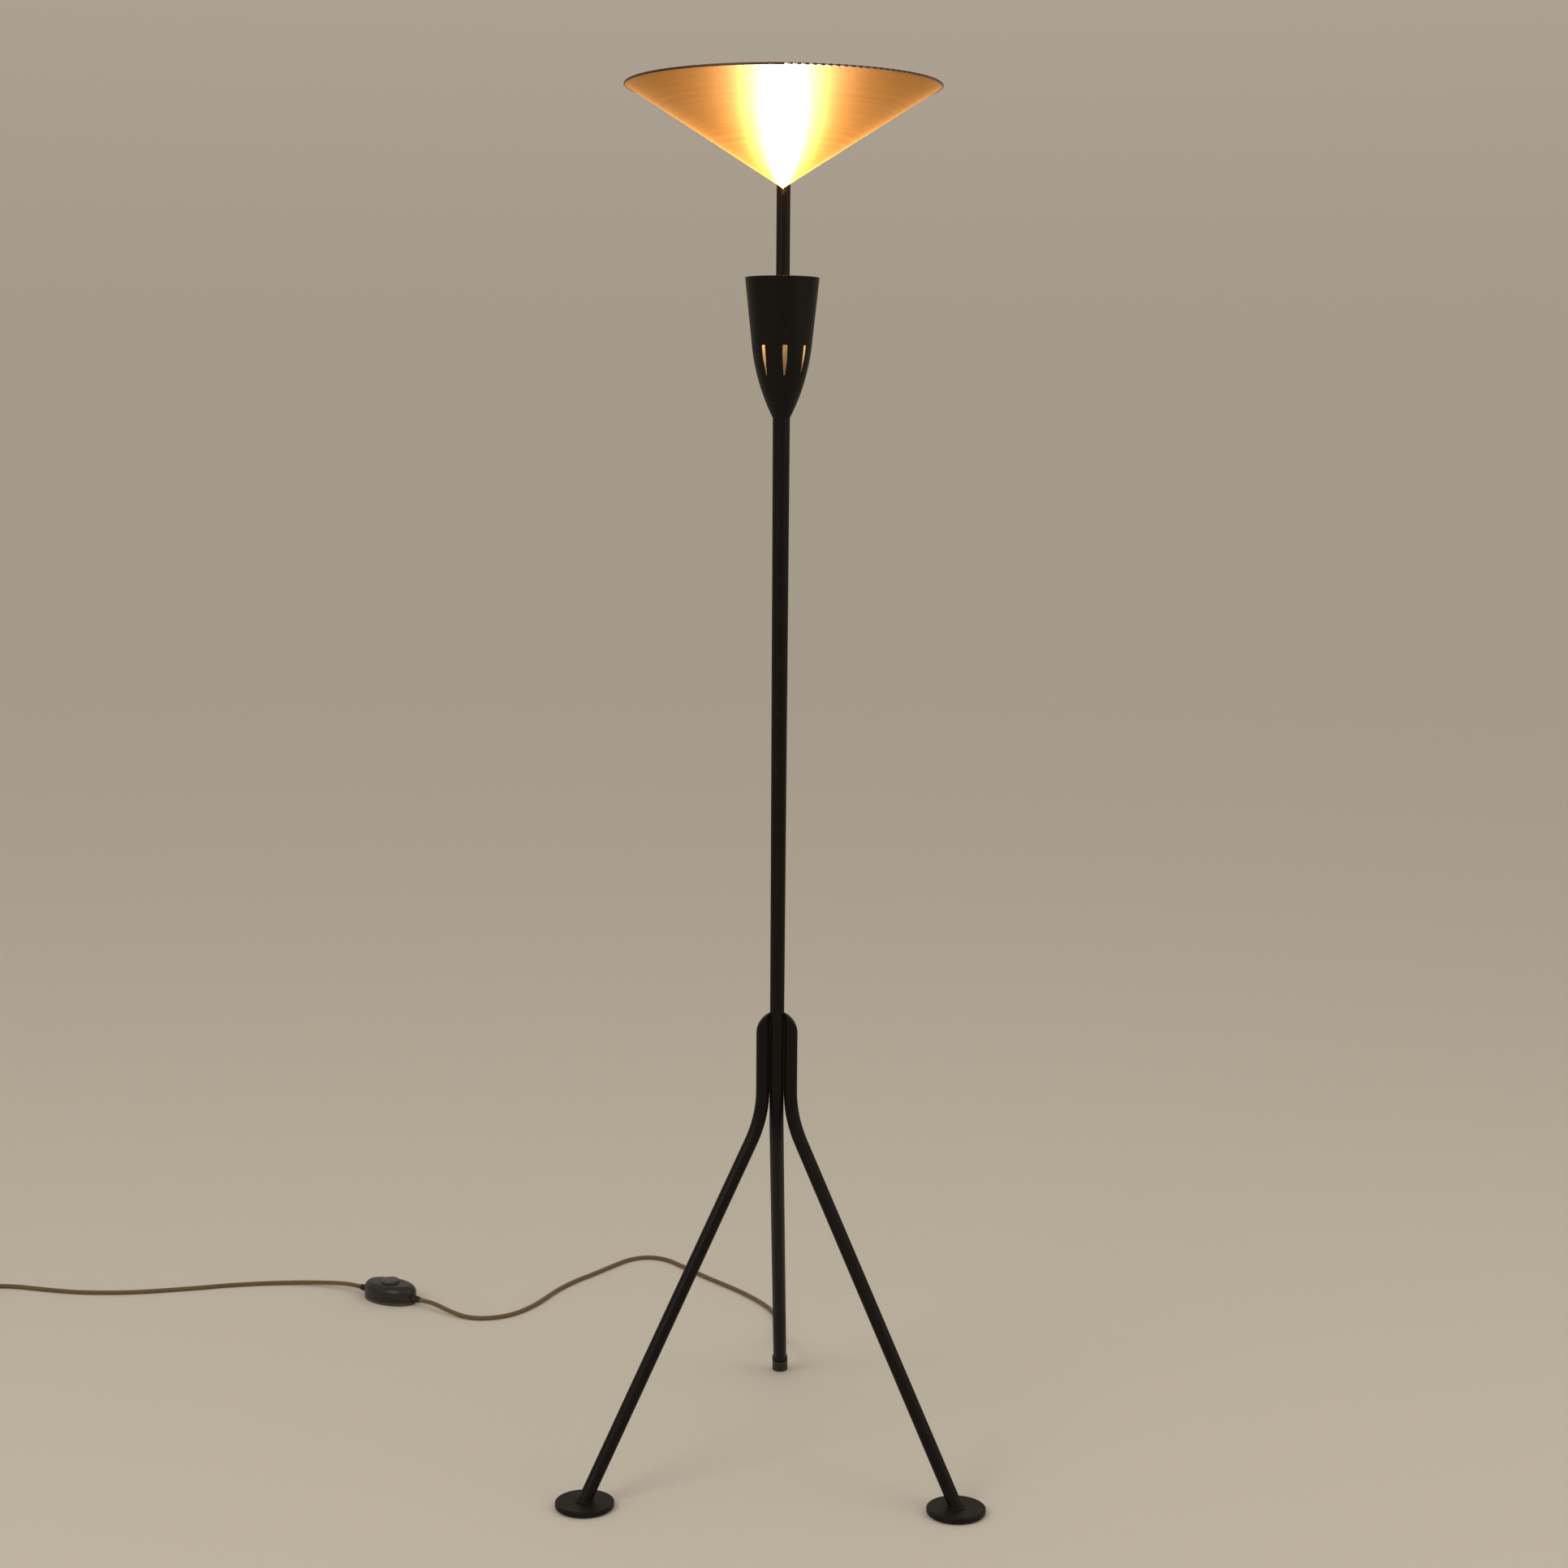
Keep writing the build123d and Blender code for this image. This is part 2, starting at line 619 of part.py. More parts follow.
with BuildPart() as bulb_mount:
    MOUNT_LOW = at(0, AXIS_Y, CUP_Z + BULB_CAP_H + GLASS_T)
    extrude(disc(MOUNT_LOW, MOUNT_R), amount=MOUNT_L)
    extrude(disc(MOUNT_LOW.offset(MOUNT_L), MOUNT_ROD_R), amount=MOUNT_ROD_L)
save(bulb_mount, "bulb_mount")

# ------------------------------------------------------- reflector and its stem


def above_cone(lift):
    """The space above the reflector's sheet near its tip, lifted by a height."""
    tip_z = CONE_APEX_Z + lift
    edge_z = tip_z + CONE_CUT_R * CONE_SLOPE
    top = [(CONE_CUT_R, CONE_CUT_TOP_Z), (0, CONE_CUT_TOP_Z)]
    return outline(SECTION, [(0, tip_z), (CONE_CUT_R, edge_z)] + top)


STEM_HOLE_LOW = at(*STEM_CENTRE, STEM_HOLE_LOW_Z)
with BuildPart() as reflector:
    SHEET_END_R = CONE_R - BEAD_R - SHEET_GAP
    end_z = CONE_APEX_Z + SHEET_END_R * CONE_SLOPE
    sheet = [
        (0, CONE_APEX_Z),
        (SHEET_END_R, end_z),
        (SHEET_END_R, end_z + CONE_RISE),
        (0, CONE_APEX_Z + CONE_RISE),
    ]
    revolve(outline(SECTION, sheet), axis=POLE_AXIS)
    with BuildSketch(SECTION):
        with Locations((CONE_R - BEAD_R, CONE_APEX_Z + CONE_H - BEAD_R)):
            Circle(BEAD_R)
    revolve(axis=POLE_AXIS)
    extrude(disc(STEM_HOLE_LOW, M4_R + 2 * CLEAR), amount=THROUGH, mode=Mode.SUBTRACT)
save(reflector, "reflector_cone")

SADDLE_HIGHEST_Z = CONE_APEX_Z + CONE_RISE + (STEM_Y + SADDLE_R) * CONE_SLOPE
SADDLE_TOP = at(*STEM_CENTRE, SADDLE_HIGHEST_Z + SADDLE_LEAST_T)
with BuildPart() as reflector_saddle:
    extrude(disc(SADDLE_TOP, SADDLE_R), amount=STEM_HOLE_LOW_Z - SADDLE_TOP.origin.Z)
    revolve(above_cone(CONE_RISE), axis=POLE_AXIS, mode=Mode.INTERSECT)
    extrude(disc(STEM_HOLE_LOW, M4_R + CLEAR), amount=THROUGH, mode=Mode.SUBTRACT)
save(reflector_saddle, "reflector_saddle")


def socket_screw(seat, shank_l):
    """A screw with a round head on a plane, and a shank down from it."""
    extrude(disc(seat, HEAD_R), amount=HEAD_T)
    extrude(disc(seat, M4_R), amount=-shank_l)
    with BuildSketch(seat.offset(HEAD_T)) as socket:
        RegularPolygon(radius=SOCKET_HALF_W, side_count=6, major_radius=False)
    extrude(socket.sketch, amount=-SOCKET_DEPTH, mode=Mode.SUBTRACT)


with BuildPart() as reflector_screw:
    socket_screw(SADDLE_TOP, REFLECTOR_SCREW_L)
save(reflector_screw, "reflector_screw")

STEM_BLANK_L = CONE_APEX_Z + STEM_Y + STEM_R - STEM_LOW_Z
with BuildPart() as stem_tube:
    extrude(ring(at(*STEM_CENTRE, STEM_LOW_Z), STEM_R, STEM_R - STEM_WALL), amount=STEM_BLANK_L)
    revolve(above_cone(0), axis=POLE_AXIS, mode=Mode.SUBTRACT)
    for z in STEM_SCREW_Z:
        extrude(disc(wall_plane(z), M4_R + CLEAR), amount=-STEM_SCREW_HOLE_L, mode=Mode.SUBTRACT)
save(stem_tube, "stem_tube")

with BuildPart() as stem_top_plug:
    extrude(disc(at(*STEM_CENTRE, STEM_PLUG_LOW_Z), STEM_R - STEM_WALL), amount=THROUGH)
    revolve(above_cone(0), axis=POLE_AXIS, mode=Mode.SUBTRACT)
    extrude(disc(STEM_HOLE_LOW, M4_R + CLEAR), amount=THROUGH, mode=Mode.SUBTRACT)
save(stem_top_plug, "stem_top_plug")

with BuildPart() as stem_insert:
    INSERT_START = at(*STEM_CENTRE, STEM_LOW_Z + STEM_INSERT_RISE)
    extrude(disc(INSERT_START, STEM_R - STEM_WALL), amount=STEM_INSERT_L)
    for z in STEM_SCREW_Z:
        extrude(disc(wall_plane(z), M4_R + CLEAR), amount=-STEM_SCREW_HOLE_L, mode=Mode.SUBTRACT)
save(stem_insert, "stem_insert")

with BuildPart() as stem_spacer:
    with BuildSketch(at(0, AXIS_Y + SPACER_REACH, STEM_LOW_Z + SPACER_RISE)):
        Rectangle(SPACER_W, SPACER_T)
    extrude(amount=SPACER_L)
    revolve(cup_region(WALL_ACROSS), axis=POLE_AXIS, mode=Mode.INTERSECT)
    extrude(disc(at(*STEM_CENTRE, STEM_LOW_Z), STEM_R), amount=THROUGH, mode=Mode.SUBTRACT)
    for z in STEM_SCREW_Z:
        extrude(disc(wall_plane(z), M4_R + CLEAR), amount=-STEM_SCREW_HOLE_L, mode=Mode.SUBTRACT)
save(stem_spacer, "stem_spacer")

with BuildPart() as stem_screws:
    for z in STEM_SCREW_Z:
        socket_screw(wall_plane(z), STEM_SCREW_L)
save(stem_screws, "stem_screws")

# ------------------------------------------------------- the lead in the frame

CABLE_LOW_Z = GLAND_Z - CABLE_BELOW_GLAND
with BuildLine() as cable_path:
    FilletPolyline(
        (0, AXIS_Y, CUP_Z + HOLDER_H + CABLE_IN_HOLDER),
        (0, AXIS_Y, BEND_Z),
        (0, rear_leg_y(CABLE_LOW_Z), CABLE_LOW_Z),
        radius=BEND_R,
    )
with BuildPart() as inner_cable:
    sweep(disc(start_plane(cable_path.line), CORD_R), path=cable_path.line)
save(inner_cable, "inner_cable")

with BuildPart() as cable_cores:
    for side in (-1, 1):
        core_from = Vector(side * CORE_LOW_X, AXIS_Y, CUP_Z + HOLDER_H + CORE_LOW_RISE)
        core_to = Vector(side * CORE_TOP_X, AXIS_Y, CUP_Z + INSERT_H - CORE_TOP_DROP)
        core_plane = Plane(origin=core_from, z_dir=core_to - core_from)
        extrude(disc(core_plane, CORE_R), amount=(core_to - core_from).length)
save(cable_cores, "cable_cores")

GLAND_SKIN = POLE_LOW_R / math.cos(math.radians(REAR_LEAN))
GLAND_TIP_Y = rear_leg_y(GLAND_Z) + GLAND_SKIN + GLAND_L
with BuildPart() as cord_gland:
    with BuildSketch(GLAND_HOLE.offset(GLAND_START)):
        Circle(GLAND_R)
    with BuildSketch(GLAND_HOLE.offset(GLAND_SKIN + GLAND_L)):
        Circle(CORD_R + BOOT_LIP)
    loft()
    extrude(disc(REAR_PLANE, POLE_LOW_R), amount=REAR_CUT_L, mode=Mode.SUBTRACT)
    extrude(disc(GLAND_HOLE, GLAND_HOLE_R - CLEAR), amount=GLAND_SHANK_L)
    extrude(disc(REAR_PLANE, CORD_R + CLEAR), amount=REAR_CUT_L, mode=Mode.SUBTRACT)
save(cord_gland, "cord_gland")

# -------------------------------------------------------------- the free lead


def corner_radii(points):
    """The largest arcs that the runs leave room for, one for each corner."""
    radii = []
    for before, corner, after in zip(points, points[1:], points[2:]):
        run_in = Vector(*corner) - Vector(*before)
        run_out = Vector(*after) - Vector(*corner)
        half_turn = math.radians(run_in.get_angle(run_out)) / 2
        radii.append(ARC_SHARE * min(run_in.length, run_out.length) / math.tan(half_turn))
    return radii


def cord_tube(label, points):
    with BuildLine() as route:
        FilletPolyline(*points, radius=corner_radii(points))
    with BuildPart() as tube:
        sweep(disc(start_plane(route.line), CORD_R), path=route.line)
    save(tube, label)


heading = math.radians(SWITCH_HEADING)
ALONG = Vector(math.cos(heading), math.sin(heading), 0)
SWITCH_SPAN = SWITCH_L + 2 * SWITCH_BOOT_L
SWITCH_CENTRE = Vector(*SWITCH_ENTRY) + ALONG * (SWITCH_SPAN / 2)
SWITCH_EXIT = Vector(*SWITCH_ENTRY) + ALONG * SWITCH_SPAN
COIL_X, COIL_Y = COIL_CENTRE
COIL_IN_R = COIL_MID_R + 2 * CORD_R - CLEAR
COIL_IN_Z = CORD_R + CLEAR
FIRST_POINTS = [(0, GLAND_TIP_Y, GLAND_Z), (0, GLAND_TIP_Y + GLAND_STRAIGHT, GLAND_Z)]
cord_tube("cord_to_switch", FIRST_POINTS + ROUTE_TO_SWITCH + [(*SWITCH_ENTRY, ENTRY_Z)])
cord_tube(
    "cord_to_coil",
    [(SWITCH_EXIT.X, SWITCH_EXIT.Y, ENTRY_Z)]
    + ROUTE_TO_COIL
    + [(COIL_X + COIL_STUB, COIL_Y + COIL_IN_R, COIL_IN_Z)],
)

PLUG_X = COIL_X - COIL_OUT_R
with BuildPart() as cord_coil:
    COIL_FLOOR = at(COIL_X, COIL_Y, 0)
    turns = ring(COIL_FLOOR, COIL_MID_R + 3 * CORD_R, COIL_MID_R - 3 * CORD_R)
    extrude(turns, amount=2 * CORD_R + COIL_LAYER_RISE)
    fillet(cord_coil.edges(), radius=COIL_ROUND)
    LEAD_IN = Plane(origin=(COIL_X, COIL_Y + COIL_IN_R, COIL_IN_Z), z_dir=(1, 0, 0))
    extrude(disc(LEAD_IN, CORD_R), amount=COIL_STUB)
    LEAD_OUT = Plane(origin=(PLUG_X, COIL_Y, PLUG_Z), z_dir=(0, -1, 0))
    extrude(disc(LEAD_OUT, CORD_R), amount=COIL_STUB)
save(cord_coil, "cord_coil")

# ------------------------------------------------------------- the foot switch


def switch_plane(z):
    return Plane(origin=(SWITCH_CENTRE.X, SWITCH_CENTRE.Y, z), x_dir=-ALONG, z_dir=(0, 0, 1))


def oval(z, step_in=0.0):
    with BuildSketch(switch_plane(z)) as shape:
        Ellipse(SWITCH_L / 2 - step_in, SWITCH_W / 2 - step_in)
    return shape.sketch


def switch_discs(z, radius):
    """A disc at each of the two screws."""
    with BuildSketch(switch_plane(z)) as shape:
        with Locations((SWITCH_SCREW_X, 0), (-SWITCH_SCREW_X, 0)):
            Circle(radius)
    return shape.sketch


def entry_planes(distance):
    """Upright planes across both ends of the switch, facing out."""
    centre = Vector(SWITCH_CENTRE.X, SWITCH_CENTRE.Y, ENTRY_Z)
    return [
        Plane(origin=centre + ALONG * (way * distance), z_dir=ALONG * way) for way in (-1, 1)
    ]


with BuildPart() as switch_base:
    extrude(oval(0), amount=SWITCH_BASE_T)
    fillet(switch_base.edges().group_by(Axis.Z)[0], radius=1)
    extrude(switch_discs(0, SWITCH_SCREW_PASS_R), amount=THROUGH, mode=Mode.SUBTRACT)
    extrude(switch_discs(0, SWITCH_RECESS_R), amount=SWITCH_RECESS_T, mode=Mode.SUBTRACT)
save(switch_base, "switch_base")

ROOF_Z = SWITCH_H - SWITCH_WALL
with BuildPart() as switch_cover:
    extrude(oval(SWITCH_BASE_T), amount=SWITCH_H - SWITCH_BASE_T)
    fillet(switch_cover.edges().group_by(Axis.Z)[-1], radius=SWITCH_TOP_ROUND)
    with BuildPart(mode=Mode.PRIVATE) as cover_room:
        extrude(oval(SWITCH_BASE_T, SWITCH_WALL), amount=ROOF_Z - SWITCH_BASE_T)
        fillet(cover_room.edges().group_by(Axis.Z)[-1], radius=SWITCH_ROOM_ROUND)
    add(cover_room.part, mode=Mode.SUBTRACT)
    extrude(switch_discs(SWITCH_BASE_T, SWITCH_POST_R), amount=SWITCH_POST_L)
    SCREW_BORES = switch_discs(SWITCH_BASE_T, SWITCH_SCREW_R + CLEAR)
    extrude(SCREW_BORES, amount=SWITCH_POST_BORE_L, mode=Mode.SUBTRACT)
    BUTTON_HOLE = disc(switch_plane(BUTTON_HOLE_LOW_Z), BUTTON_R + BUTTON_GAP)
    extrude(BUTTON_HOLE, amount=THROUGH, mode=Mode.SUBTRACT)
    for plane in entry_planes(SWITCH_L / 2 - ENTRY_DEPTH):
        extrude(disc(plane, BOOT_SHANK_R + CLEAR), amount=2 * ENTRY_DEPTH, mode=Mode.SUBTRACT)
save(switch_cover, "switch_cover")

with BuildPart() as switch_boots:
    for near, far in zip(entry_planes(SWITCH_L / 2), entry_planes(SWITCH_L / 2 + SWITCH_BOOT_L)):
        with BuildSketch(near):
            Circle(SWITCH_BOOT_R)
        with BuildSketch(far):
            Circle(CORD_R + BOOT_LIP)
        loft()
    for plane in entry_planes(SWITCH_L / 2 - BOOT_SHANK_L):
        extrude(disc(plane, BOOT_SHANK_R), amount=BOOT_SHANK_L)
save(switch_boots, "switch_strain_reliefs")

with BuildPart() as switch_button:
    BUTTON_LOW = switch_plane(SPRING_TOP_Z)
    extrude(disc(BUTTON_LOW, BUTTON_R), amount=BUTTON_TOP_Z - SPRING_TOP_Z)
    fillet(switch_button.edges().group_by(Axis.Z)[-1], radius=BUTTON_ROUND)
    extrude(disc(BUTTON_LOW, BUTTON_R + BUTTON_FLANGE_W), amount=BUTTON_FLANGE_T)
    extrude(disc(BUTTON_LOW, SPRING_SEAT_R), amount=SPRING_SEAT_DEPTH, mode=Mode.SUBTRACT)
save(switch_button, "switch_button")

with BuildPart() as button_spring:
    SEAT_Z = SPRING_TOP_Z + SPRING_SEAT_DEPTH
    SPRING_H = SEAT_Z - SPRING_LOW_Z - 2 * SPRING_WIRE_R - CLEAR
    with BuildLine():
        coil = Helix(
            pitch=SPRING_H / SPRING_TURNS,
            height=SPRING_H,
            radius=SPRING_R,
            center=(SWITCH_CENTRE.X, SWITCH_CENTRE.Y, SPRING_LOW_Z + SPRING_WIRE_R),
        )
    with BuildSketch(Plane(origin=coil @ 0, z_dir=coil % 0)):
        Circle(SPRING_WIRE_R)
    sweep(path=coil, is_frenet=True)
save(button_spring, "button_spring")

with BuildPart() as switch_mechanism:
    with BuildSketch(switch_plane(SWITCH_BASE_T)):
        Rectangle(*MECHANISM_SIZE)
    extrude(amount=SPRING_LOW_Z - SWITCH_BASE_T)
    chamfer(switch_mechanism.edges().group_by(Axis.Z)[-1], length=MECHANISM_CHAMFER)
save(switch_mechanism, "switch_mechanism")

with BuildPart() as switch_terminals:
    TERMINAL_L, TERMINAL_W, TERMINAL_H = SWITCH_TERMINAL_SIZE
    for x in (-SWITCH_TERMINAL_X, SWITCH_TERMINAL_X):
        with BuildSketch(switch_plane(SWITCH_BASE_T)):
            with Locations((x, 0)):
                Rectangle(TERMINAL_L, TERMINAL_W)
        extrude(amount=TERMINAL_H)
save(switch_terminals, "switch_terminals")

with BuildPart() as switch_screws:
    HEAD_LOW_Z = SWITCH_RECESS_T - SWITCH_HEAD_T
    extrude(switch_discs(HEAD_LOW_Z, SWITCH_HEAD_R), amount=SWITCH_HEAD_T)
    extrude(switch_discs(HEAD_LOW_Z, SWITCH_SCREW_R), amount=SWITCH_SCREW_L)
save(switch_screws, "switch_screws")

# -------------------------------------------------------------------- the plug

PLUG_BOOT_Y = COIL_Y - COIL_STUB
PLUG_BACK_Y = PLUG_BOOT_Y - PLUG_BOOT_L
PLUG_FACE_Y = PLUG_BACK_Y - PLUG_L


def plug_plane(y):
    """Upright, across the plug, facing out of its pins' end."""
    return Plane(origin=(PLUG_X, y, PLUG_Z), x_dir=(1, 0, 0), z_dir=(0, -1, 0))


with BuildPart() as plug_boot:
    with BuildSketch(plug_plane(PLUG_BOOT_Y)):
        Circle(CORD_R + BOOT_LIP)
    with BuildSketch(plug_plane(PLUG_BACK_Y)):
        Circle(PLUG_BOOT_R)
    loft()
save(plug_boot, "plug_boot")

with BuildPart() as plug_body:
    left_side = [
        (-PLUG_BACK_W / 2, 0),
        (-PLUG_W / 2, -PLUG_SIDE_Y[0]),
        (-PLUG_W / 2, -PLUG_SIDE_Y[1]),
        (-PLUG_FACE_W / 2, -PLUG_L),
    ]
    right_side = [(-x, y) for x, y in reversed(left_side)]
    with BuildSketch(at(PLUG_X, PLUG_BACK_Y, 0)) as plug_shape:
        with BuildLine():
            Polyline(*left_side, *right_side, close=True)
        make_face()
        fillet(plug_shape.vertices(), radius=PLUG_CORNER_R)
    extrude(amount=PLUG_T)
    fillet(plug_body.edges().filter_by(Plane.XY), radius=PLUG_EDGE_R)
save(plug_body, "plug_body")

with BuildPart() as plug_pins:
    for x in (-PIN_PITCH / 2, PIN_PITCH / 2):
        with BuildSketch(plug_plane(PLUG_FACE_Y)):
            with Locations((x, 0)):
                Circle(PIN_CORE_R)
        extrude(amount=PIN_SLEEVE_L)
        with BuildSketch(plug_plane(PLUG_FACE_Y - PIN_SLEEVE_L)):
            with Locations((x, 0)):
                Circle(PIN_R)
        extrude(amount=PIN_L - PIN_SLEEVE_L)
    fillet(plug_pins.edges().group_by(Axis.Y)[0], radius=PIN_TIP_ROUND)
save(plug_pins, "plug_pins")

with BuildPart() as plug_pin_sleeves:
    for x in (-PIN_PITCH / 2, PIN_PITCH / 2):
        with BuildSketch(plug_plane(PLUG_FACE_Y)):
            with Locations((x, 0)):
                Circle(PIN_R)
                Circle(PIN_CORE_R, mode=Mode.SUBTRACT)
        extrude(amount=PIN_SLEEVE_L)
save(plug_pin_sleeves, "plug_pin_sleeves")
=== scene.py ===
"""Tripod floor lamp with a conical metal reflector: its looks, studio and camera.

Metres. The front is -Y, up is +Z and the floor is z = 0. The shapes come from
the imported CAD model; this script adds the materials, the braided lead, the
ribbed boots, the button's spring, the weld beads, the lights and the camera.
"""

import math

import bpy
from mathutils import Matrix, Vector


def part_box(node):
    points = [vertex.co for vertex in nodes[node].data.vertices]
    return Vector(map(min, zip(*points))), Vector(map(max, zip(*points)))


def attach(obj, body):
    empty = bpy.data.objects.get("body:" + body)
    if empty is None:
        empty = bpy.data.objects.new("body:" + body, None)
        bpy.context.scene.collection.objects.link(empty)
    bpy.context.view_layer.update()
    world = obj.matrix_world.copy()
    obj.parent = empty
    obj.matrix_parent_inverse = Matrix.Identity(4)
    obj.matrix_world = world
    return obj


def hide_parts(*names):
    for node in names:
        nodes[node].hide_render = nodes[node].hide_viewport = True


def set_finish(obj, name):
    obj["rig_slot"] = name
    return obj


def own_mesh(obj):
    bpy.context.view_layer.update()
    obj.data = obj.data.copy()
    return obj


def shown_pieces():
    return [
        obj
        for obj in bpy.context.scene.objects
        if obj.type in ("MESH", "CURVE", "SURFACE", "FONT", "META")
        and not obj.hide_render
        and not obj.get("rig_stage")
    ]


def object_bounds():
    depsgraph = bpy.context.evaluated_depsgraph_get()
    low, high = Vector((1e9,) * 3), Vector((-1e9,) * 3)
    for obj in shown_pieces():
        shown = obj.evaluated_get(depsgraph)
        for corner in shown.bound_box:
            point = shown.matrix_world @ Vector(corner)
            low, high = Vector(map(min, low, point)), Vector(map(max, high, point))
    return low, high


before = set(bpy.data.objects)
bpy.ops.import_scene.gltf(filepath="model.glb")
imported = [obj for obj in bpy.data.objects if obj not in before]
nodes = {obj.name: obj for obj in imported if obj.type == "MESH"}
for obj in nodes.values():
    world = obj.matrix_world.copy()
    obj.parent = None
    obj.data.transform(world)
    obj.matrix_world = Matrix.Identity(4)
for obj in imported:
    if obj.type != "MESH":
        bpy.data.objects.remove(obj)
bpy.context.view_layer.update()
scene = bpy.context.scene

# ---------------------------------------------------------------- dimensions

UPWARDS = Vector((0, 0, 1))
BACKWARDS = Vector((0, 1, 0))

# The pole's axis runs through the middle of the reflector
POLE_AXIS = Vector((0, sum(corner.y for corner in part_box("reflector_cone")) / 2, 0))
# Between these two radii the rim bead's colour fades to a dark brown, which is painted shade
REFLECTOR_BEAD_FROM_R = 0.1772
REFLECTOR_BEAD_FULL_R = 0.1782
BULB_HEIGHT = 1.4
LAMP_MIDDLE = Vector((0, 0, 0.8))

CORD_R = 0.003
CORD_SIDES = 20

# The lead's route: from the gland to the foot switch, through it, and on to the
# coil of spare lead beside the plug
ROUTE = [
    (0, 0.2434, 0.045),
    (0, 0.2624, 0.045),
    (-0.001, 0.294, 0.033),
    (-0.002, 0.325, 0.014),
    (-0.004, 0.358, 0.0045),
    (-0.006, 0.4, 0.003),
    (-0.012, 0.447, 0.003),
    (-0.028, 0.487, 0.003),
    (-0.063, 0.54, 0.003),
    (-0.1, 0.583, 0.003),
    (-0.129, 0.618, 0.003),
    (-0.158, 0.656, 0.003),
    (-0.181, 0.684, 0.003),
    (-0.208, 0.694, 0.003),
    (-0.235, 0.682, 0.003),
    (-0.257, 0.65, 0.003),
    (-0.281, 0.612, 0.003),
    (-0.309, 0.573, 0.003),
    (-0.331, 0.528, 0.003),
    (-0.349, 0.474, 0.003),
    (-0.375, 0.43, 0.003),
    (-0.406, 0.411, 0.003),
    (-0.44, 0.412, 0.003),
    (-0.467, 0.431, 0.0055),
    (-0.4932, 0.454, 0.009),
    (-0.514, 0.466, 0.009),
    (-0.6075, 0.52, 0.009),
    (-0.63, 0.533, 0.009),
    (-0.668, 0.547, 0.0055),
    (-0.72, 0.552, 0.003),
    (-0.79, 0.54, 0.003),
    (-0.862, 0.516, 0.003),
    (-0.935, 0.497, 0.003),
    (-1.005, 0.494, 0.003),
    (-1.06, 0.505, 0.003),
    (-1.105, 0.5169, 0.0031),
    (-1.138, 0.5169, 0.0031),
]
COIL_CENTRE = Vector((-1.172, 0.478, 0))
COIL_POINTS_PER_TURN = 16
# Turns made so far, the radius there and the height there: inwards on the floor
# for two and a half turns, then outwards on top of them
COIL_STAGES = [
    (0.0, 0.0389, 0.0031),
    (0.7, 0.039, 0.003),
    (1.0, 0.033, 0.003),
    (1.7, 0.033, 0.003),
    (2.0, 0.027, 0.003),
    (2.45, 0.027, 0.003),
    (2.75, 0.0272, 0.0086),
    (3.0, 0.03, 0.0084),
    (3.7, 0.03, 0.0082),
    (3.85, 0.033, 0.009),
    (4.0, 0.036, 0.0082),
    (5.1, 0.036, 0.0082),
    (5.25, 0.0355, 0.009),
]
TO_PLUG = [
    (-1.2075, 0.466, 0.0092),
    (-1.2075, 0.455, 0.008),
    (-1.2075, 0.444, 0.007),
]

# Where the lead goes into the foot switch, and where it comes out
SWITCH_IN = Vector((-0.514, 0.466, 0.009))
SWITCH_OUT = Vector((-0.60753, 0.52, 0.009))

# Ribbed boots, each with its length, the radius at its foot and at its tip, and
# its number of ribs
GLAND_TIP = Vector(ROUTE[0])
GLAND_FOOT_Y = 0.2095
GLAND_BOOT = (GLAND_TIP.y - GLAND_FOOT_Y, 0.0064, 0.0039, 7)
SWITCH_BOOT_LENGTH = 0.0125
SWITCH_BOOT = (SWITCH_BOOT_LENGTH, 0.0056, 0.0038, 4)
PLUG_BOOT = (0.023, 0.0058, 0.0039, 6)
PLUG_BOOT_SUNK = 0.001
# One rib: places along its pitch, and how deep it is there as a share of the groove
RIB_SHAPE = ((0.0, 0.35), (0.1, 0.05), (0.3, 0.0), (0.5, 0.05), (0.6, 0.35), (0.65, 1.0), (0.95, 1.0))
RIB_GROOVE = 0.0009
# The tip is rounded over the last part of a rib's pitch
BOOT_TIP_ROUND = 0.0003
BOOT_TIP_SHARE = 0.02
BOOT_SIDES = 40

SPRING_TURNS = 4
SPRING_STEPS_PER_TURN = 24
SPRING_WIRE_R = 0.0005
SPRING_WIRE_SIDES = 10

WELD_SIDES = 12
# How much thinner a weld is between its ripples
WELD_DIP = 0.12
COLLAR_WELD_LOW = 0.452
COLLAR_WELD_HIGH = 0.538
COLLAR_WELD_STEP = 0.0004
COLLAR_WELD_X = 0.0086
COLLAR_WELD_FROM_AXIS_Y = 0.0027
COLLAR_WELD_R = 0.0019
COLLAR_WELD_RIPPLE = 0.0024
FOOT_WELD_STEPS = 120
FOOT_WELD_ROUND_R = 0.0083
FOOT_WELD_RAISED = 0.0003
FOOT_WELD_R = 0.0014
FOOT_WELD_RIPPLE = 0.0022
# The front legs' angle from the vertical, and from straight forwards as seen from above
FRONT_LEG_LEAN = math.radians(32.3)
FRONT_LEG_SPREAD = math.radians(49.3)

FLOOR_HALF = 60

CAMERA_PLACE = (0.0745, -3.066, 1.2200)
CAMERA_TURN = math.radians(1.3)
CAMERA_TILT = math.radians(90 - 7.25)
CAMERA_ROLL = math.radians(0.42)

# ------------------------------------------------------------ building meshes


def mesh_object(name, vertices, faces, uvs=None):
    """A smooth-shaded mesh that rides on the lamp."""
    mesh = bpy.data.meshes.new(name)
    mesh.from_pydata([tuple(vertex) for vertex in vertices], [], faces)
    for polygon in mesh.polygons:
        polygon.use_smooth = True
    if uvs is not None:
        layer = mesh.uv_layers.new(name="weave")
        for loop, uv in zip(layer.data, uvs):
            loop.uv = uv
    made = bpy.data.objects.new(name, mesh)
    scene.collection.objects.link(made)
    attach(made, "lamp")
    return made


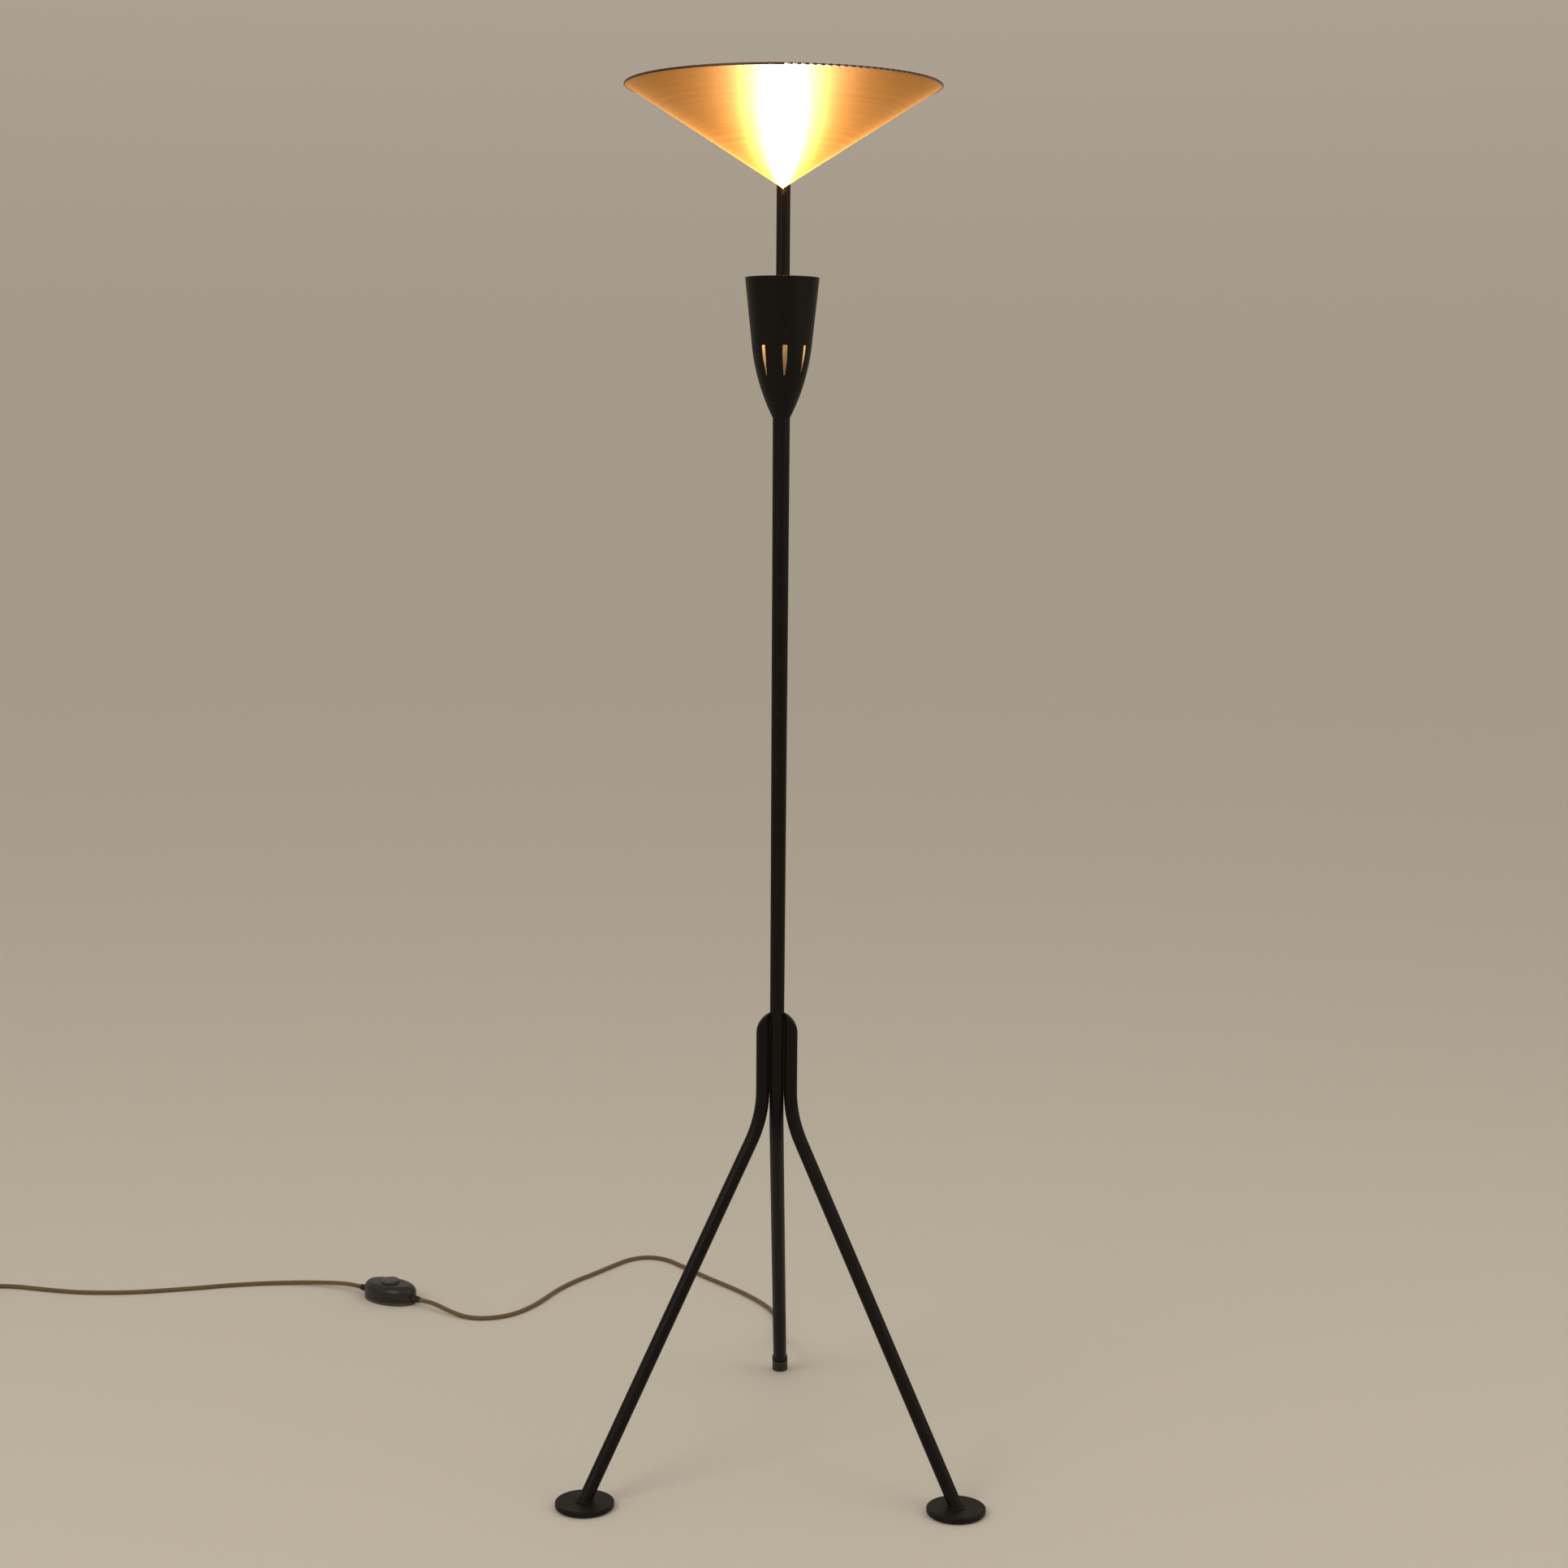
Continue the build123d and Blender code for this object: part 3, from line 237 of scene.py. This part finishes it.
def ring(centre, side, up, radius, sides):
    """Points of a circle in the plane of two crosswise directions."""
    turns = [math.tau * corner / sides for corner in range(sides)]
    return [centre + (side * math.cos(turn) + up * math.sin(turn)) * radius for turn in turns]


def ring_faces(rings, sides):
    """Faces of a closed tube whose vertices are rings, one after another."""
    faces = []
    for index in range(rings - 1):
        here = index * sides
        there = here + sides
        for corner in range(sides):
            after = (corner + 1) % sides
            faces.append((here + corner, here + after, there + after, there + corner))
    last = (rings - 1) * sides
    faces.append(tuple(reversed(range(sides))))
    faces.append(tuple(last + corner for corner in range(sides)))
    return faces


def weave_uvs(points, sides):
    """For each corner of a tube's faces, the metres along it and the share round it."""
    along = [0.0]
    for before, after in zip(points, points[1:]):
        along.append(along[-1] + (after - before).length)
    uvs = []
    for here, there in zip(along, along[1:]):
        for corner in range(sides):
            start = corner / sides
            end = (corner + 1) / sides
            uvs += [(here, start), (here, end), (there, end), (there, start)]
    for end_along in (0, along[-1]):
        uvs += [(end_along, corner / sides) for corner in range(sides)]
    return uvs


def carried_frames(points):
    """A pair of crosswise directions at each point of a line, without twist."""
    tangents = []
    for index in range(len(points)):
        before = points[max(index - 1, 0)]
        after = points[min(index + 1, len(points) - 1)]
        tangents.append((after - before).normalized())
    side = tangents[0].orthogonal().normalized()
    frames = []
    for tangent in tangents:
        side = (side - tangent * side.dot(tangent)).normalized()
        frames.append((side, tangent.cross(side)))
    return frames


def tube(name, points, radii, sides, weave=False):
    """A closed tube along a line, with a radius at each point."""
    vertices = []
    for point, radius, (side, up) in zip(points, radii, carried_frames(points)):
        vertices += ring(point, side, up, radius, sides)
    uvs = weave_uvs(points, sides) if weave else None
    return mesh_object(name, vertices, ring_faces(len(points), sides), uvs)


def ribbed(length, foot_r, tip_r, ribs):
    """The profile of a tapering boot with rounded ribs, as (distance, radius)."""
    profile = []
    pitch = length / ribs
    for rib in range(ribs):
        for share, depth in RIB_SHAPE:
            distance = (rib + share) * pitch
            radius = foot_r + (tip_r - foot_r) * distance / length
            profile.append((distance, radius - RIB_GROOVE * depth))
    profile.append((length - pitch * BOOT_TIP_SHARE, tip_r))
    profile.append((length, tip_r - BOOT_TIP_ROUND))
    return profile


def ribbed_boots(name, boots):
    """One object from several (start, direction, size) boots, turned round their axes."""
    vertices = []
    faces = []
    for start, direction, size in boots:
        side = direction.orthogonal().normalized()
        up = direction.cross(side)
        profile = ribbed(*size)
        first = len(vertices)
        for distance, radius in profile:
            vertices += ring(start + direction * distance, side, up, radius, BOOT_SIDES)
        for face in ring_faces(len(profile), BOOT_SIDES):
            faces.append(tuple(first + corner for corner in face))
    return mesh_object(name, vertices, faces)


# ------------------------------------------------------------------ the lead


def coil_points():
    """The spare lead's turns, seen from above anticlockwise from the back."""
    points = []
    last_turn = COIL_STAGES[-1][0]
    for step in range(1, int(last_turn * COIL_POINTS_PER_TURN) + 1):
        turn = step / COIL_POINTS_PER_TURN
        for (start, start_r, start_z), (end, end_r, end_z) in zip(COIL_STAGES, COIL_STAGES[1:]):
            if start <= turn <= end:
                share = (turn - start) / (end - start)
                radius = start_r + (end_r - start_r) * share
                height = start_z + (end_z - start_z) * share
        angle = math.radians(90 + 360 * turn)
        from_centre = Vector((radius * math.cos(angle), radius * math.sin(angle), height))
        points.append(COIL_CENTRE + from_centre)
    return points


def smooth_line(points):
    """The NURBS curve that has these control points, as points along it."""
    curve = bpy.data.curves.new("route", "CURVE")
    curve.dimensions = "3D"
    spline = curve.splines.new("NURBS")
    spline.points.add(len(points) - 1)
    for control, point in zip(spline.points, points):
        control.co = (*point, 1)
    spline.order_u = 3
    spline.use_endpoint_u = True
    spline.resolution_u = 8
    holder = bpy.data.objects.new("route", curve)
    mesh = bpy.data.meshes.new_from_object(holder)
    line = [vertex.co.copy() for vertex in mesh.vertices]
    bpy.data.meshes.remove(mesh)
    bpy.data.objects.remove(holder)
    return line


coil_entry = COIL_CENTRE + Vector((0, COIL_STAGES[0][1], COIL_STAGES[0][2]))
cord_line = smooth_line(ROUTE + [coil_entry] + coil_points() + TO_PLUG)
lead = tube("braided_lead", cord_line, [CORD_R] * len(cord_line), CORD_SIDES, weave=True)
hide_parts("cord_to_switch", "cord_to_coil", "cord_coil")
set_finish(lead, "cord_fabric")

# ------------------------------------------------------------------ the camera

camera_data = bpy.data.cameras.new("camera")
camera_data.sensor_width = 36
camera_data.lens = 59.66
camera_data.shift_y = -0.0098
camera = bpy.data.objects.new("camera", camera_data)
scene.collection.objects.link(camera)
camera.matrix_world = (
    Matrix.Translation(CAMERA_PLACE)
    @ Matrix.Rotation(CAMERA_TURN, 4, "Z")
    @ Matrix.Rotation(CAMERA_TILT, 4, "X")
    @ Matrix.Rotation(CAMERA_ROLL, 4, "Z")
)
scene.camera = camera

# --------------------------------------------------------------- ribbed pieces

gland_foot = GLAND_TIP.copy()
gland_foot.y = GLAND_FOOT_Y
gland = ribbed_boots("ribbed_gland", [(gland_foot, BACKWARDS, GLAND_BOOT)])
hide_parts("cord_gland")
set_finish(gland, "black_rubber")

switch_axis = (SWITCH_OUT - SWITCH_IN).normalized()
boot_reach = switch_axis * SWITCH_BOOT_LENGTH
boots = ribbed_boots(
    "ribbed_switch_boots",
    [
        (SWITCH_IN + boot_reach, -switch_axis, SWITCH_BOOT),
        (SWITCH_OUT - boot_reach, switch_axis, SWITCH_BOOT),
    ],
)
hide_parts("switch_strain_reliefs")
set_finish(boots, "black_rubber")

plug_boot_foot = Vector(TO_PLUG[-1])
plug_boot_foot.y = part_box("plug_boot")[0].y - PLUG_BOOT_SUNK
plug_boot = ribbed_boots("ribbed_plug_boot", [(plug_boot_foot, BACKWARDS, PLUG_BOOT)])
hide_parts("plug_boot")
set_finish(plug_boot, "black_rubber")

# ---------------------------------------------------------- the button's spring

spring_low, spring_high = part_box("button_spring")
spring_foot = (spring_low + spring_high) / 2
spring_foot.z = spring_low.z
spring_height = spring_high.z - spring_low.z
spring_r = (spring_high.x - spring_low.x) / 2 - SPRING_WIRE_R
spring_steps = SPRING_TURNS * SPRING_STEPS_PER_TURN
spring_line = []
for step in range(spring_steps + 1):
    turn = math.tau * step / SPRING_STEPS_PER_TURN
    rise = (spring_height - 2 * SPRING_WIRE_R) * step / spring_steps
    place = Vector((spring_r * math.cos(turn), spring_r * math.sin(turn), SPRING_WIRE_R + rise))
    spring_line.append(spring_foot + place)
spring_radii = [SPRING_WIRE_R] * len(spring_line)
spring = tube("coiled_spring", spring_line, spring_radii, SPRING_WIRE_SIDES)
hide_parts("button_spring")
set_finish(spring, "spring_steel")
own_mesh(spring)

# ------------------------------------------------------------------- the welds


def weld_bead(name, points, radius, ripple):
    """A bead of weld along a line, with the ripples that the weld pool leaves."""
    along = 0.0
    radii = []
    for before, after in zip([points[0]] + points, points):
        along += (after - before).length
        swell = abs(math.cos(math.pi * along / ripple))
        radii.append(radius * (1 - WELD_DIP + WELD_DIP * swell))
    return tube(name, points, radii, WELD_SIDES)


LEFT_AND_RIGHT = ((-1, "left"), (1, "right"))
FRONT_AND_BACK = ((-1, "front"), (1, "back"))

collar_weld_steps = int((COLLAR_WELD_HIGH - COLLAR_WELD_LOW) / COLLAR_WELD_STEP)
for side, side_name in LEFT_AND_RIGHT:
    for face, face_name in FRONT_AND_BACK:
        x = side * COLLAR_WELD_X
        y = POLE_AXIS.y + face * COLLAR_WELD_FROM_AXIS_Y
        line = []
        for step in range(collar_weld_steps + 1):
            line.append(Vector((x, y, COLLAR_WELD_LOW + COLLAR_WELD_STEP * step)))
        name = f"collar_weld_{side_name}_{face_name}"
        bead = weld_bead(name, line, COLLAR_WELD_R, COLLAR_WELD_RIPPLE)
        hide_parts("collar_welds")
        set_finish(bead, "black_frame")

for side, side_name in LEFT_AND_RIGHT:
    low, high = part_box(f"foot_disc_{side_name}")
    centre = (low + high) / 2
    centre.z = high.z
    leaning = Vector((side * math.sin(FRONT_LEG_SPREAD), -math.cos(FRONT_LEG_SPREAD), 0))
    across = UPWARDS.cross(leaning)
    raised = UPWARDS * FOOT_WELD_RAISED
    long_r = FOOT_WELD_ROUND_R / math.cos(FRONT_LEG_LEAN)
    line = []
    for step in range(FOOT_WELD_STEPS + 1):
        turn = math.tau * step / FOOT_WELD_STEPS
        reach = leaning * (long_r * math.cos(turn))
        line.append(centre + reach + across * (FOOT_WELD_ROUND_R * math.sin(turn)) + raised)
    bead = weld_bead(f"foot_weld_{side_name}", line, FOOT_WELD_R, FOOT_WELD_RIPPLE)
    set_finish(bead, "black_foot")

# --------------------------------------------------------------- the materials


def scaled(colour, share, more=0.0):
    return [channel * share + more for channel in colour]


class Finish:
    """A material, with short ways to add the nodes that all of them use."""

    def __init__(self, name, colour, roughness, metallic=0.0, **sockets):
        """The sockets are the shader's own, with underscores for their spaces."""
        self.material = bpy.data.materials.new(name)
        self.material.use_nodes = True
        self.tree = self.material.node_tree
        self.shader = self.tree.nodes["Principled BSDF"]
        self.shader.inputs["Base Color"].default_value = (*colour, 1)
        self.shader.inputs["Roughness"].default_value = roughness
        self.shader.inputs["Metallic"].default_value = metallic
        for socket, value in sockets.items():
            self.shader.inputs[socket.replace("_", " ")].default_value = value
        self.place = self.tree.nodes.new("ShaderNodeTexCoord").outputs["Object"]

    def node(self, kind, links=(), **settings):
        made = self.tree.nodes.new(f"ShaderNode{kind}")
        for setting, value in settings.items():
            setattr(made, setting, value)
        for socket, source in dict(links).items():
            if isinstance(source, bpy.types.NodeSocket):
                self.tree.links.new(source, made.inputs[socket])
            else:
                made.inputs[socket].default_value = source
        return made

    def maths(self, operation, *values):
        return self.node("Math", enumerate(values), operation=operation).outputs[0]

    def vector_maths(self, operation, *values):
        return self.node("VectorMath", enumerate(values), operation=operation).outputs

    def noise(self, scale, detail, roughness=0.55):
        links = {"Vector": self.place, "Scale": scale, "Detail": detail, "Roughness": roughness}
        return self.node("TexNoise", links).outputs["Fac"]

    def ring_noise(self, per_metre, detail):
        """Noise that changes only with the distance from the pole's axis."""
        links = {"W": self.maths("MULTIPLY", self.radius(), per_metre), "Scale": 1.0, "Detail": detail}
        return self.node("TexNoise", links, noise_dimensions="1D").outputs["Fac"]

    def stretch(self, source, low, high, to_low=0.0, to_high=1.0):
        """The source's range from low to high, spread over another range."""
        links = {"Value": source, "From Min": low, "From Max": high, "To Min": to_low, "To Max": to_high}
        return self.node("MapRange", links).outputs["Result"]

    def between(self, share, colour_a, colour_b):
        """Colour A where the share is 0, and colour B where it is 1."""
        mix = self.node("Mix", data_type="RGBA")
        self.tree.links.new(share, mix.inputs["Factor"])
        for socket, colour in (("A", colour_a), ("B", colour_b)):
            target = next(i for i in mix.inputs if i.name == socket and i.type == "RGBA")
            if isinstance(colour, bpy.types.NodeSocket):
                self.tree.links.new(colour, target)
            else:
                target.default_value = (*colour, 1)
        return next(o for o in mix.outputs if o.type == "RGBA")

    def drive(self, socket, source):
        self.tree.links.new(source, self.shader.inputs[socket])

    def bump(self, height, distance, strength):
        bump = self.node("Bump", {"Height": height, "Distance": distance, "Strength": strength})
        self.drive("Normal", bump.outputs["Normal"])

    def from_axis(self):
        """The level line from the pole's axis to the place."""
        centred = self.vector_maths("SUBTRACT", self.place, POLE_AXIS)[0]
        return self.vector_maths("MULTIPLY", centred, (1, 1, 0))[0]

    def radius(self):
        return self.vector_maths("LENGTH", self.from_axis())["Value"]

    def turned_outwards(self):
        """1 on a face turned away from the pole's axis, and -1 on one turned to it."""
        outwards = self.vector_maths("NORMALIZE", self.from_axis())[0]
        normal = self.node("NewGeometry").outputs["True Normal"]
        return self.vector_maths("DOT_PRODUCT", normal, outwards)["Value"]


def painted(name, colour, worn, roughness, height=0.00004, lining=None):
    """Satin paint: a fine pebbled skin, uneven gloss and a few faint scuffs. A lining
    is the colour of the faces that are turned to the pole's axis."""
    finish = Finish(name, colour, roughness, Specular_IOR_Level=0.15)
    patches = finish.noise(scale=9, detail=4)
    scuffs = finish.stretch(finish.noise(scale=75, detail=6, roughness=0.7), 0.62, 0.74)
    paint = finish.between(patches, colour, scaled(colour, 1.7))
    skin = finish.between(scuffs, paint, worn)
    if lining:
        skin = finish.between(finish.stretch(finish.turned_outwards(), -0.4, -0.5), skin, lining)
    finish.drive("Base Color", skin)
    gloss = finish.stretch(patches, 0.3, 0.7, roughness - 0.06, roughness + 0.08)
    finish.drive("Roughness", finish.maths("ADD", gloss, finish.maths("MULTIPLY", scuffs, 0.15)))
    pebbles = finish.noise(scale=1500, detail=2)
    waves = finish.noise(scale=220, detail=2)
    finish.bump(finish.maths("ADD", pebbles, waves), height, strength=0.6)
    return finish.material


def plain_metal(name, colour, roughness, scratches=0.05):
    """Plated metal with fine scratches and slightly uneven gloss."""
    finish = Finish(name, colour, roughness, metallic=1.0)
    haze = finish.noise(scale=120, detail=4)
    finish.drive("Base Color", finish.between(haze, scaled(colour, 0.8), colour))
    fine = finish.noise(scale=2600, detail=3)
    marks = finish.maths("MULTIPLY", haze, fine)
    gloss = finish.stretch(marks, 0.1, 0.5, roughness - scratches, roughness + scratches)
    finish.drive("Roughness", gloss)
    finish.bump(fine, 0.00001, strength=0.4)
    return finish.material


def moulded(name, colour, roughness, grain, height):
    """Moulded plastic or rubber with a fine spark-eroded grain."""
    finish = Finish(name, colour, roughness, Specular_IOR_Level=0.45)
    dust = finish.stretch(finish.noise(scale=60, detail=5), 0.45, 0.75)
    finish.drive("Base Color", finish.between(dust, colour, scaled(colour, 1.5, more=0.004)))
    patches = finish.noise(scale=180, detail=3)
    finish.drive("Roughness", finish.stretch(patches, 0.3, 0.7, roughness - 0.06, roughness + 0.08))
    finish.bump(finish.noise(scale=grain, detail=3), height, strength=0.5)
    return finish.material


def spun_brass():
    """Warm brushed metal, spun on a lathe, so its marks are rings; the rolled bead at the rim is
    coloured dark as painted shade.
    """
    plain = (0.31, 0.132, 0.02)
    clean = (0.33, 0.139, 0.021)
    tarnished = (0.28, 0.115, 0.0145)
    bright_ring = (0.365, 0.162, 0.029)
    rim_bead_painted_shade = (0.12, 0.075, 0.035)
    finish = Finish(
        "spun_brass",
        plain,
        roughness=0.53,
        metallic=1.0,
        Anisotropic=0.48,
        Anisotropic_Rotation=0.25,
    )
    tangent = finish.node("Tangent", direction_type="RADIAL", axis="Z")
    finish.drive("Tangent", tangent.outputs["Tangent"])
    fine = finish.ring_noise(per_metre=2600, detail=3.0)
    broad = finish.ring_noise(per_metre=190, detail=2.0)
    rings = finish.maths("ADD", fine, finish.maths("MULTIPLY", broad, 0.3))
    tarnish = finish.stretch(finish.noise(scale=14, detail=5), 0.35, 0.75)
    colour = finish.between(tarnish, clean, tarnished)
    spun = finish.between(finish.stretch(rings, 0.4, 0.9), colour, bright_ring)
    # Painted shade: the rolled bead at the rim is coloured dark brown, as if it lay in shadow
    bead = finish.stretch(finish.radius(), REFLECTOR_BEAD_FROM_R, REFLECTOR_BEAD_FULL_R)
    finish.drive("Base Color", finish.between(bead, spun, rim_bead_painted_shade))
    finish.drive("Roughness", finish.stretch(rings, 0.35, 0.95, 0.5, 0.57))
    finish.bump(rings, 0.000008, strength=0.4)
    return finish.material


def braided():
    """A braided cotton sleeve: two sets of crossing yarns, with flecks, and painted shade in the grooves
    between the yarns.
    """
    yarns_per_metre = 260
    yarns_round = 8
    groove_painted_shade = (0.05, 0.032, 0.011)
    dark_yarn = (0.15, 0.095, 0.03)
    light_yarn = (0.25, 0.175, 0.065)
    finish = Finish("braided_cotton", (0.15, 0.1, 0.035), 0.85, Sheen_Weight=0.15)
    weave = finish.node("UVMap", uv_map="weave").outputs["UV"]
    parts = finish.node("SeparateXYZ", {0: weave}).outputs
    length = finish.maths("MULTIPLY", parts["X"], yarns_per_metre)
    turns = finish.maths("MULTIPLY", parts["Y"], yarns_round)
    yarns = []
    for operation in ("ADD", "SUBTRACT"):
        phase = finish.maths("MULTIPLY", finish.maths(operation, turns, length), math.pi)
        yarns.append(finish.maths("ABSOLUTE", finish.maths("SINE", phase)))
    relief = finish.maths("POWER", finish.maths("MULTIPLY", *yarns), 0.6)
    fibres = finish.noise(scale=4200, detail=3)
    flecks = finish.stretch(finish.noise(scale=700, detail=2), 0.4, 0.66)
    yarn_colour = finish.between(flecks, dark_yarn, light_yarn)
    # Painted shade: the grooves between the yarns are coloured darker than the yarns
    finish.drive("Base Color", finish.between(finish.stretch(relief, 0.05, 0.5), groove_painted_shade, yarn_colour))
    fuzz = finish.maths("MULTIPLY", fibres, 0.25)
    finish.bump(finish.maths("ADD", relief, fuzz), 0.00035, strength=0.9)
    return finish.material


def opal_glass():
    """A lit bulb of frosted glass, with a slightly uneven glow."""
    finish = Finish("opal_glass", (0.95, 0.9, 0.8), 0.35, Emission_Strength=3.5)
    glow = finish.noise(scale=40, detail=2)
    finish.drive("Emission Color", finish.between(glow, (1.0, 0.62, 0.27), (1.0, 0.72, 0.38)))
    finish.bump(finish.noise(scale=1800, detail=2), 0.00002, strength=0.3)
    return finish.material


def glowing():
    """A lit filament."""
    finish = Finish("glowing_filament", (1.0, 0.7, 0.35), 0.5, Emission_Strength=12.0)
    glow = finish.noise(scale=900, detail=2)
    finish.drive("Emission Color", finish.between(glow, (1.0, 0.5, 0.16), (1.0, 0.7, 0.35)))
    return finish.material


FRAME_PAINT = {"colour": (0.0034, 0.0027, 0.002), "worn": (0.02, 0.016, 0.012), "roughness": 0.42}
FOOT_PAINT = {"colour": (0.0065, 0.0055, 0.0042), "worn": (0.035, 0.029, 0.022), "roughness": 0.48}
CUP_LINING = (0.75, 0.7, 0.6)

finishes = {
    "black_frame": painted("satin_black_paint", **FRAME_PAINT),
    "black_foot": painted("satin_black_foot", **FOOT_PAINT, height=0.00007),
    "reflector_brass": spun_brass(),
    "black_fastener": plain_metal("blackened_steel", (0.05, 0.047, 0.043), 0.38),
    "plated_steel": plain_metal("zinc_plated_steel", (0.62, 0.61, 0.58), 0.33),
    "contact_brass": plain_metal("contact_brass", (0.78, 0.57, 0.26), 0.3),
    "pin_nickel": plain_metal("nickel_plate", (0.72, 0.71, 0.68), 0.2),
    "spring_steel": plain_metal("spring_steel", (0.45, 0.45, 0.46), 0.28),
    "ceramic_insert": moulded("glazed_ceramic", (0.4, 0.38, 0.33), 0.24, 300, 0.00002),
    "black_rubber": moulded("black_rubber", (0.012, 0.011, 0.01), 0.62, 1300, 0.00006),
    "switch_plastic": moulded("moulded_black", (0.009, 0.008, 0.0072), 0.36, 1500, 0.00004),
    "button_plastic": moulded("moulded_grey", (0.055, 0.05, 0.043), 0.4, 1500, 0.00003),
    "cord_fabric": braided(),
    "bulb_glass": opal_glass(),
    "filament": glowing(),
}
for node in nodes.values():
    for slot in node.material_slots:
        slot.material = finishes[slot.material.name]
cup_paint = painted("cup_paint", **FRAME_PAINT, lining=CUP_LINING)
nodes["lamp_cup"].material_slots[0].material = cup_paint
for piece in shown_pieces():
    if "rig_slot" in piece:
        piece.data.materials.append(finishes[piece["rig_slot"]])

# --------------------------------------------------------- floor, sky and lights

floor_mesh = bpy.data.meshes.new("floor")
corners = [(x * FLOOR_HALF, y * FLOOR_HALF, 0) for x, y in ((-1, -1), (1, -1), (1, 1), (-1, 1))]
floor_mesh.from_pydata(corners, [], [(0, 1, 2, 3)])
floor = bpy.data.objects.new("floor", floor_mesh)
scene.collection.objects.link(floor)
floor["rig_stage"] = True
floor_mesh.materials.append(Finish("pale_floor", (0.72, 0.68, 0.62), 0.9).material)

# The sky is darker towards the horizon, where it meets the floor's own shade
world = bpy.data.worlds.new("studio")
world.use_nodes = True
sky = world.node_tree
direction = sky.nodes.new("ShaderNodeTexCoord")
split = sky.nodes.new("ShaderNodeSeparateXYZ")
ramp = sky.nodes.new("ShaderNodeValToRGB")
sky.links.new(direction.outputs["Generated"], split.inputs[0])
sky.links.new(split.outputs["Z"], ramp.inputs["Fac"])
sky.links.new(ramp.outputs["Color"], sky.nodes["Background"].inputs["Color"])
ramp.color_ramp.interpolation = "EASE"
horizon, overhead = ramp.color_ramp.elements
horizon.color = (0.376, 0.321, 0.253, 1)
overhead.color = (0.52, 0.47, 0.4, 1)
overhead.position = 0.5
scene.world = world


def soft_box(name, place, size, power, colour):
    """A square light that faces the lamp's middle."""
    data = bpy.data.lights.new(name, "AREA")
    data.size = size
    data.energy = power
    data.color = colour
    light = bpy.data.objects.new(name, data)
    scene.collection.objects.link(light)
    light.location = place
    towards = LAMP_MIDDLE - Vector(place)
    light.rotation_euler = towards.to_track_quat("-Z", "Y").to_euler()


soft_box("key", (-2.4, -2.8, 3.2), size=2.2, power=45, colour=(1.0, 0.96, 0.9))
soft_box("fill", (2.8, -1.2, 2.2), size=2.6, power=18, colour=(1.0, 0.95, 0.88))

# The bulb's light, kept to the reflector
lamp_data = bpy.data.lights.new("lamp_light", "POINT")
lamp_data.energy = 45
lamp_data.color = (0.95, 0.87, 0.88)
lamp_data.shadow_soft_size = 0.012
lamp_light = bpy.data.objects.new("lamp_light", lamp_data)
lamp_light.location = (0, POLE_AXIS.y, BULB_HEIGHT)
scene.collection.objects.link(lamp_light)
lit_by_lamp = bpy.data.collections.new("lit_by_lamp")
lit_by_lamp.objects.link(nodes["reflector_cone"])
lamp_light.light_linking.receiver_collection = lit_by_lamp

scene.view_settings.view_transform = "Standard"

# ------------------------------------------------------------ the shown pieces' bounds

low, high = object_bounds()
